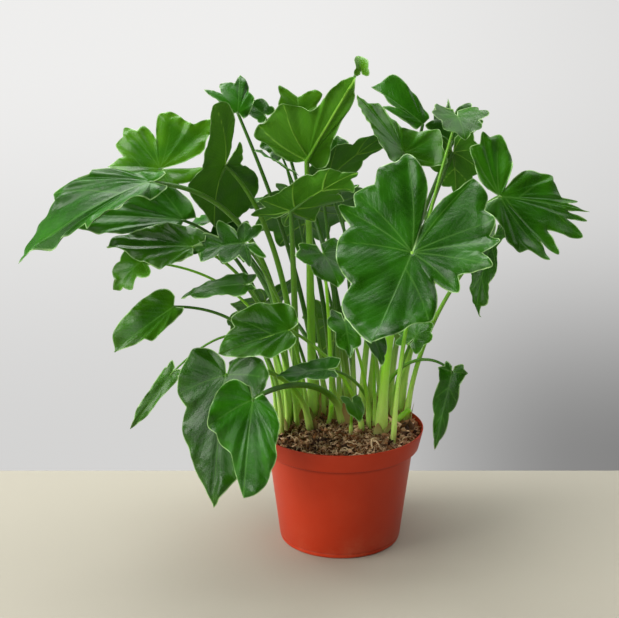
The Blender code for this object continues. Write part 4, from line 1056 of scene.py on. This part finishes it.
def blade_shell(leaf):
    """Closed shell: the upper sheet, a lower sheet set back by the blade's thickness and by its raised
    veins, and a rim that joins their margins. Points at the heart and on the midrib are made one."""
    points, flat, values = blade_surface(leaf)
    rows, columns = points.shape[:2]
    quads = grid_faces(rows, columns)
    spots = points.reshape(-1, 3)
    _, first, same = np.unique(np.round(spots * SAME_POINT).astype(np.int64), axis=0, return_index=True,
                               return_inverse=True)
    same = same.ravel()
    top = spots[first]
    quads = same[quads]
    keep = (quads[:, 0] != quads[:, 3]) & (quads[:, 1] != quads[:, 2]) & (quads[:, 3] != quads[:, 2])
    folded = quads[(quads[:, 0] == quads[:, 1]) & (quads[:, 3] != quads[:, 2])]
    quads = quads[keep & (quads[:, 0] != quads[:, 1])]
    tris = np.vstack([quads[:, [0, 1, 2]], quads[:, [0, 2, 3]], folded[:, [0, 2, 3]]])
    normal = np.cross(top[tris[:, 1]] - top[tris[:, 0]], top[tris[:, 2]] - top[tris[:, 0]])
    total = np.stack([np.bincount(tris.ravel(), np.repeat(normal[:, k], 3), len(top)) for k in range(3)], 1)
    total /= np.linalg.norm(total, axis=1, keepdims=True) + 1e-12
    kept = {name: value.ravel()[first] for name, value in values.items()}
    thick = BLADE_THICK * np.clip(EDGE_THIN + kept["edge"] / EDGE_WIDTH, EDGE_THIN, 1)
    low = top - total * (thick + kept.pop("keel"))[:, None]
    count = len(top)
    number = same.reshape(rows, columns)
    loop = np.concatenate([number[0, :-1], number[:-1, -1], number[-1, :0:-1]])
    loop = loop[np.append(True, np.diff(loop) != 0)]
    after = np.roll(loop, -1)
    rim = np.stack([loop, loop + count, after + count, after], 1)
    rim = rim[loop != after]
    faces = [quads, folded[:, [0, 2, 3]], quads[:, ::-1] + count, folded[:, [0, 3, 2]] + count, rim]
    kept["under"] = np.zeros(count)
    both = {name: np.concatenate([value, value]) for name, value in kept.items()}
    both["under"][count:] = 1
    level = np.column_stack([flat.reshape(-1, 2)[first], np.zeros(count)]) * MM
    both["flat"] = np.vstack([level, level])
    return np.vstack([top, low]), faces, both


def stalk_path(leaf):
    """Centre line, radii and share of the way up of a stalk: straight in the soil, one arch, then on under
    the midrib as a rib that thins out."""
    foot = np.array([*leaf.foot, FOOT_HEIGHT])
    heart = np.array(leaf.heart)
    span = heart - foot
    aside, rise = LEAN_ASIDE * (1 - leaf.late), LEAN_UP + LEAN_LATE * leaf.late
    lean = foot + np.array([aside * span[0], aside * span[1], rise * span[2] + leaf.bow])
    way = (lean - foot) / np.linalg.norm(lean - foot)
    turn = axes(leaf)
    thin = leaf.stalk * STALK_TAPER
    aside, rise = NEAR_ASIDE * (1 + leaf.late), NEAR_UP - NEAR_LATE * leaf.late
    near = heart - np.array([aside * span[0], aside * span[1], rise * span[2] - NEAR_BOW * leaf.bow])
    start, end = foot + way * FOOT_RISE, heart - turn[:, 2] * thin * STALK_SINK
    stations = max(int(np.linalg.norm(span) / STALK_GRAIN), 16)
    t = np.linspace(0, 1, stations)[:, None]
    arch = (1 - t)**3 * start + 3 * (1 - t)**2 * t * lean + 3 * (1 - t) * t**2 * near + t**3 * end
    curl = leaf.droop * DEGREE / leaf.length
    y = np.linspace(RIB_FROM, RIB_TO, 9) * leaf.length
    rib = thin * np.linspace(RIB_THICK, RIB_THIN, len(y))
    under = np.stack([0 * y, np.sin(curl * y) / curl, -(1 - np.cos(curl * y)) / curl - (rib + RIB_SINK)], 1)
    points = np.vstack([foot - way * FOOT_DEPTH * np.array([[1], [0.5]]), arch, heart + under @ turn.T])
    wide = leaf.stalk * STALK_FLARE
    bulge = 1 + STALK_BULGE * np.exp(-(t[:, 0] / BULGE_LENGTH)**2)
    radii = np.concatenate([[wide, wide * 1.2], np.linspace(wide, thin, stations) * bulge, rib])
    share = np.concatenate([[-0.1, -0.05], t[:, 0], np.ones(len(y))])
    return points, radii, share


def stalk_tube(leaf):
    """Round tube along the stalk's path, flattened a little and grooved on the side that faces the blade's
    upper face; each station's ring is carried on from the one before, so the tube never twists."""
    points, radii, share = stalk_path(leaf)
    way = np.gradient(points, axis=0)
    way /= np.linalg.norm(way, axis=1, keepdims=True)
    side = axes(leaf)[:, 0]
    sides = []
    for direction in way[::-1]:
        side = side - direction * (side @ direction)
        side = side / np.linalg.norm(side)
        sides.append(side)
    side = np.array(sides[::-1])
    front = np.cross(side, way)
    angle = np.arange(STALK_SIDES) * 2 * math.pi / STALK_SIDES
    groove = 1 - STALK_GROOVE * np.exp(-((angle - math.pi / 2) / 0.5)**2)
    right, ahead = (np.cos(angle) * groove)[:, None], (np.sin(angle) * groove)[:, None]
    ring = side[:, None] * right + front[:, None] * ahead
    tube = points[:, None] + ring * radii[:, None, None]
    values = {"share": np.repeat(share, STALK_SIDES), "around": np.tile(angle, len(points))}
    return tube.reshape(-1, 3), tube_faces(1, len(points), STALK_SIDES), values


def leaf_blade():
    """Living blade: deep glossy green above, each leaf of its own depth, darkened towards its middle by
    painted shade, with thin paler main veins, a faint net and a thin cream-green hem; duller mid green
    below, with painted light in brighter patches as if shining through, and strong pale veins. Young leaves
    are yellower, most so at the margin."""
    finish = Finish("philodendron_blade", 0.3, Specular_IOR_Level=0.28, Subsurface_Weight=0.05,
                    Subsurface_Radius=(0.4, 1.0, 0.1), Subsurface_Scale=0.0012)
    flat = finish.vector("flat")
    vein, side, edge = finish.value("vein"), finish.value("side"), finish.value("edge")
    under, young, tone = finish.value("under"), finish.value("young"), finish.value("tone")
    net = finish.cells(flat, 420.0, "DISTANCE_TO_EDGE").step(0.16, 0.0)
    blotch = finish.noise(finish.place(), 26.0, 3.0)
    patch = finish.noise(finish.place(), 15.0, 2.0)
    fine = finish.noise(flat, 700.0, 3.0)
    dark = finish.mix(blotch.step(0.34, 0.66), (0.0055, 0.040, 0.0003), (0.0120, 0.082, 0.0006))
    light = finish.mix(blotch.step(0.34, 0.66), (0.0085, 0.072, 0.0003), (0.0190, 0.140, 0.0006))
    old = finish.mix(tone, dark, light)
    fresh = finish.mix(blotch, (0.060, 0.24, 0.002), (0.18, 0.44, 0.004))
    rim = (1 - (edge / 15.0).held()) * 0.75 + 0.25
    top = finish.mix((young * rim).held(), old, fresh)
    # Painted shade: the upper face darkens away from the margin towards the blade's middle.
    top = finish.mix(edge.step(14.0, 46.0) * 0.6, top, (0.005, 0.026, 0.0012))
    top = finish.mix(net * 0.08 + side * 0.13, top, (0.06, 0.22, 0.02))
    top = finish.mix((vein * 0.26).held(), top, (0.14, 0.36, 0.05))
    low = finish.mix(blotch, (0.012, 0.098, 0.0003), (0.028, 0.170, 0.0006))
    low = finish.mix((tone * 0.4).held(), low, (0.038, 0.160, 0.0010))
    # Painted light: brighter patches on the underside stand for light shining through the blade.
    low = finish.mix(patch.step(0.42, 0.66) * 0.45, low, (0.055, 0.235, 0.0012))
    low = finish.mix((young * 0.7).held(), low, (0.20, 0.44, 0.006))
    low = finish.mix(net * 0.10 + side * 0.24, low, (0.11, 0.32, 0.012))
    low = finish.mix((vein * 0.8).held(), low, (0.24, 0.50, 0.05))
    both = finish.mix(under, top, low)
    hem = edge.step(1.15, 0.25) * (finish.noise(flat, 60.0, 2.0).step(0.36, 0.62) * 0.6 + 0.25)
    finish.colour(finish.mix(hem, both, (0.40, 0.64, 0.25)))
    finish.rough((0.16 + 0.19 * blotch + 0.06 * fine + under * 0.20 + vein * 0.06).held())
    finish.bump(fine * 0.12 + net * (0.14 - 0.26 * under) + (1 - side) * 0.12, 0.00035)
    return finish


def leaf_stalk():
    """Living stalk: pale yellow-green, whiter at the foot, deeper green towards the blade and, by painted
    shade, on the stalks that stand further back; with fine lengthwise streaks and a scatter of pale specks."""
    finish = Finish("philodendron_stalk", 0.36, Specular_IOR_Level=0.5, Subsurface_Weight=0.3,
                    Subsurface_Radius=(0.6, 1.0, 0.2), Subsurface_Scale=0.003)
    place = finish.place()
    share, around, tint = finish.value("share"), finish.value("around"), finish.value("pale")
    thread = finish.node("ShaderNodeCombineXYZ", {}, {"X": around * 3.2, "Y": share * 4.0, "Z": tint * 7.0})
    streak = finish.noise(thread, 2.2, 3.0)
    speck = finish.noise(finish.stretched(place, (1.0, 1.0, 0.3)), 1100.0, 2.0).step(0.58, 0.72)
    deep = finish.mix(streak, (0.026, 0.115, 0.0012), (0.070, 0.230, 0.0035))
    bright = finish.mix(streak, (0.260, 0.710, 0.012), (0.420, 0.900, 0.036))
    pale = ((1 - share) * 0.60 + tint * 1.05 - 0.20).held()
    skin = finish.mix(pale, deep, bright)
    foot = share.step(0.28, -0.02)
    skin = finish.mix(foot * 0.85, skin, (0.70, 0.98, 0.24))
    scar = share.step(0.012, -0.02) * streak.step(0.42, 0.62)
    skin = finish.mix(scar * 0.8, skin, (0.20, 0.11, 0.045))
    finish.colour(finish.mix(speck * 0.25, skin, (0.42, 0.60, 0.25)))
    finish.rough((0.30 + 0.16 * streak).held())
    finish.bump(streak, 0.0003)
    return finish


blade_finish, stalk_finish = leaf_blade(), leaf_stalk()


def make_leaf(leaf):
    """One leaf: the blade's shell and the stalk's tube in one mesh, standing for the CAD node."""
    blade_points, blade_faces, blade_values = blade_shell(leaf)
    tube_points, tube_walls, tube_values = stalk_tube(leaf)
    values = {}
    for name, array in blade_values.items():
        values[name] = np.concatenate([array, np.zeros((len(tube_points), *array.shape[1:]))])
    for name, array in tube_values.items():
        values[name] = np.concatenate([np.zeros(len(blade_points)), array])
    own = np.random.default_rng(leaf.seed + 200).random(3)
    young = leaf.young + OWN_YOUNG * own[0]
    # The stalks further back are made less pale: painted shade.
    pale = leaf.pale + OWN_PALE * (own[1] - 0.5) - BACK_STALK_SHADE * max(leaf.foot[1], 0)
    for name, value in (("young", young), ("pale", pale), ("tone", own[2])):
        values[name] = np.full(len(blade_points) + len(tube_points), value)
    faces = blade_faces + [part + len(blade_points) for part in tube_walls]
    picks = np.repeat([0, 1], [sum(map(len, blade_faces)), sum(map(len, tube_walls))])
    points = np.vstack([blade_points, tube_points])
    finishes = [blade_finish, stalk_finish]
    piece = add_piece(leaf.name + "_leaf", points, faces, finishes, values, picks)
    piece.data.set_sharp_from_angle(angle=BLADE_CREASE * DEGREE)
    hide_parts("leaf_" + leaf.name)


for leaf in LEAVES:
    make_leaf(leaf)

# The sheaths: each new leaf grows out of a thin papery sheath, and the split, dried remains of them stand
# round the feet of the stalks, tan to brown, with their tips curled outward.

SHEATH_STALK, SHEATH_PAIR = 1.7, 2.3     # stalks of more than this radius have one strip, and two
SHEATH_LEAST, SHEATH_MORE = 3.5, 7.5     # height in stalk radii, and what its own draw adds
SHEATH_HUG = 1.18                        # distance from the stalk's middle, in stalk radii
SHEATH_CURL, SHEATH_CURL_MORE = 0.8, 2.6
SHEATH_DEPTH = 1.5                       # how far a strip starts below the soil's level
SHEATH_THIN = 0.16                       # thickness as a share of the width
SHEATH_STATIONS = 16
SHEATH_SIDES = 10


def papery_sheath():
    """Dry papery skin: pale straw green at the foot to brown at the tip, with lengthwise veins."""
    finish = Finish("papery_sheath", 0.62, Specular_IOR_Level=0.35)
    shade, along = finish.value("shade"), finish.value("along")
    streak = finish.noise(finish.stretched(finish.place(), (1.0, 1.0, 0.06)), 1500.0, 3.0)
    straw = finish.mix(shade, (0.52, 0.34, 0.14), (0.50, 0.62, 0.18))
    brown = finish.mix(streak, (0.16, 0.070, 0.026), (0.50, 0.26, 0.10))
    finish.colour(finish.mix((along * 1.1 - shade * 0.3).held(), straw, brown))
    finish.bump(streak, 0.0003)
    return finish


def make_sheaths():
    """Flat strips that hug the stronger stalks, one or two to a stalk: each rises beside its stalk, leans
    out with the cube of its height and narrows to a point."""
    rng = np.random.default_rng(31)
    strong = [leaf for leaf in LEAVES if leaf.stalk > SHEATH_STALK]
    feet = [leaf for leaf in strong for _ in range(1 + (leaf.stalk > SHEATH_PAIR))]
    count = len(feet)
    path, wide = [], []
    s = np.linspace(0, 1, SHEATH_STATIONS)[:, None]
    for leaf in feet:
        points, radii = stalk_path(leaf)[:2]
        foot, way = points[2], points[3] - points[1]
        way = way / np.linalg.norm(way)
        turn = rng.random() * 2 * math.pi
        aside = np.array([math.cos(turn), math.sin(turn), 0])
        tall = leaf.stalk * (SHEATH_LEAST + SHEATH_MORE * rng.random()**1.5)
        curl = SHEATH_CURL + SHEATH_CURL_MORE * rng.random()
        lean = radii[2] * SHEATH_HUG + 0.04 * s * tall + curl * s**3
        path.append(foot - way * (FOOT_RISE + SHEATH_DEPTH) + way * s * tall + aside * lean)
        wide.append(radii[2] * (0.75 + 0.4 * rng.random()) * (1 - s[:, 0]**2.2) + 0.12)
    points = carried(np.array(path), np.array(wide), SHEATH_SIDES, SHEATH_THIN).reshape(-1, 3)
    each = SHEATH_STATIONS * SHEATH_SIDES
    along = np.tile(np.repeat(s[:, 0], SHEATH_SIDES), count)
    values = {"shade": np.repeat(rng.random(count), each), "along": along}
    faces = tube_faces(count, SHEATH_STATIONS, SHEATH_SIDES)
    add_piece("dry_sheaths", points, faces, [papery_sheath()], values)


make_sheaths()

# The cut stalk ends: old leaves were cut off above the soil, and each stub's top has sunk to a shallow
# dish with a ragged rim. Each is a name, where it leaves the soil, the middle of its top, and its radius.

STUB_TAPER = 0.22
STUB_FLARE, FLARE_LENGTH = 0.2, 5
STUB_RAGGED = 0.35
STUB_PALE = 0.7
DISH_DEPTHS, DISH_WIDTHS = (0, 0.5, 1.4), (0.97, 0.72, 0.3)
STUBS = (
    ("stub_front", (51, 3), (71, 0, 138), 3.6),
    ("stub_right", (70, 21), (74, 20, 152), 2.2),
    ("stub_back", (62, 38), (70, 42, 152), 2.0),
    ("stub_left", (-12, 8), (-9, 6, 141), 2.2),
)


def make_stub(name, foot, top, radius):
    """Straight taper with a hollowed top: the last rings turn inward and down below the cut."""
    foot = np.array([*foot, FOOT_HEIGHT])
    span = np.array(top) - foot
    long = np.linalg.norm(span)
    way = span / long
    dish = long - np.array(DISH_DEPTHS)
    along = np.concatenate([[-FOOT_DEPTH, 0], np.linspace(2, long - 0.6, 14), dish])
    flare = STUB_FLARE * np.exp(-(along / FLARE_LENGTH)**2)
    wide = radius * (1 - STUB_TAPER * np.clip(along / long, 0, 1) + flare)
    wide[-3:] *= DISH_WIDTHS
    side = np.cross(way, (0, 1, 0))
    side /= np.linalg.norm(side)
    front = np.cross(side, way)
    angle = np.arange(STALK_SIDES) * 2 * math.pi / STALK_SIDES
    ring = side * np.cos(angle)[:, None] + front * np.sin(angle)[:, None]
    ragged = STUB_RAGGED * np.sin(3 * angle + foot[0]) * (along > long - 1)[:, None]
    tube = foot + (along[:, None] + ragged)[..., None] * way + ring * wide[:, None, None]
    share = np.repeat(np.clip(along / long, -0.1, 1) * 0.3, STALK_SIDES)
    pale = np.full(share.shape, STUB_PALE)
    values = {"share": share, "around": np.tile(angle, len(along)), "pale": pale}
    faces = tube_faces(1, len(along), STALK_SIDES)
    piece = add_piece("cut_" + name, tube.reshape(-1, 3), faces, [stalk_finish], values)
    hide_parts(name)


for stub in STUBS:
    make_stub(*stub)

# The table, the light and the camera, in metres. The table is plain and pale. One large soft light stands
# far off to the left and a little in front, another above and a little behind, and a weak one low in
# front fills the shade; the room itself gives the rest.

TABLE_SIDE, TABLE_FRONT, TABLE_REAR = 3, -3.2, 0.17
TABLE_THICK = 0.03
CAMERA_PLACE = (-0.0318, -1.4072, 0.6539)
CAMERA_PITCH = 16.2
CAMERA_LENS, CAMERA_SENSOR = 84.9, 36.0     # millimetres


def pale_table():
    """Plain matt board."""
    finish = Finish("pale_table", 0.7)
    clouds = finish.noise(finish.place(), 3.0)
    finish.colour(finish.mix(clouds, (0.418, 0.394, 0.320), (0.442, 0.418, 0.339)))
    return finish


def make_table():
    """Flat board with its rear edge close behind the pot."""
    front, rear = (TABLE_SIDE, TABLE_FRONT, 0), (TABLE_SIDE, TABLE_REAR, 0)
    corners = np.array([(-TABLE_SIDE, *front[1:]), front, rear, (-TABLE_SIDE, *rear[1:])])
    low = corners - (0, 0, TABLE_THICK)
    mesh = bpy.data.meshes.new("table")
    sides = [(i, i + 4, (i + 1) % 4 + 4, (i + 1) % 4) for i in range(4)]
    mesh.from_pydata(np.vstack([corners, low]).tolist(), [], [(0, 1, 2, 3), (7, 6, 5, 4), *sides])
    mesh.materials.append(pale_table().material)
    table = bpy.data.objects.new("table", mesh)
    bpy.context.scene.collection.objects.link(table)


def add_light(name, place, target, size, power, colour):
    """Square area light at a place, turned to a target."""
    lamp = bpy.data.lights.new(name, "AREA")
    lamp.size = size
    lamp.energy = power
    lamp.color = colour
    light = bpy.data.objects.new(name, lamp)
    light.location = place
    light.rotation_euler = (Vector(target) - Vector(place)).to_track_quat("-Z", "Y").to_euler()
    bpy.context.scene.collection.objects.link(light)


def light_room():
    """Room, by direction. Behind the plant and below the horizon stands a bright wall, brighter upward,
    less bright to the right and darkest low on the right. The rest is dim but for a ceiling that is bright
    over the back, a bright patch high at the back right, a paler left side, a faint right side, and the
    light that the table throws back from below."""
    world = bpy.data.worlds.new("studio")
    world.use_nodes = True
    room = Nodes(world.node_tree)
    direction = room.node("ShaderNodeTexCoord", {}, {}, "Generated")
    x, y, z = (room.node("ShaderNodeSeparateXYZ", {}, {"Vector": direction}, axis) for axis in "XYZ")
    wall = y.step(0.5, 0.93) * (z.step(0.06, -0.05) * 0.92 + 0.08)
    up = z.step(-0.37, -0.10)
    # Painted light and shade on the backdrop: the wall is brighter upward, dimmer to the right, and a
    # painted shadow darkens it low on the right.
    corner = x.step(-0.02, 0.18) * z.step(-0.20, -0.37)
    behind = 0.66 + up * 0.20 - corner * 0.31 - x.step(-0.05, 0.3) * 0.14
    ceiling = z.step(0.6, 0.9) * y.step(-0.25, 0.25) * 1.9
    patch = x.step(0.0, 0.6) * y.step(-0.2, 0.3) * z.step(0.15, 0.45) * 1.3
    bright = ceiling + x.step(0.5, 0.95) * 0.14 + patch
    around = 0.03 + x.step(-0.45, -0.85) * 0.42 + bright + z.step(0.02, -0.2) * 0.28
    glow = around * (1 - wall) + behind * wall
    tint = room.node("ShaderNodeCombineXYZ", {}, {"X": glow, "Y": glow * 0.995, "Z": glow * 0.985})
    room.feed(world.node_tree.nodes["Background"].inputs["Color"], tint)
    bpy.context.scene.world = world


make_table()
light_room()
add_light("key", (-5.3, -2.2, 3.0), (0, 0, 0.25), 4.4, 410, (1.0, 0.985, 0.96))
add_light("top", (-0.5, 0.7, 1.8), (0, 0, 0.3), 1.1, 22, (1.0, 1.0, 1.0))
add_light("fill", (-0.9, -2.4, 0.7), (0, 0, 0.15), 1.2, 14, (1.0, 0.99, 0.96))
bpy.context.scene.view_settings.view_transform = "Standard"

eye = bpy.data.cameras.new("camera")
eye.lens = CAMERA_LENS
eye.sensor_width = CAMERA_SENSOR
camera = bpy.data.objects.new("camera", eye)
camera.location = CAMERA_PLACE
camera.rotation_euler = ((90 - CAMERA_PITCH) * DEGREE, 0, 0)
bpy.context.scene.collection.objects.link(camera)
bpy.context.scene.camera = camera
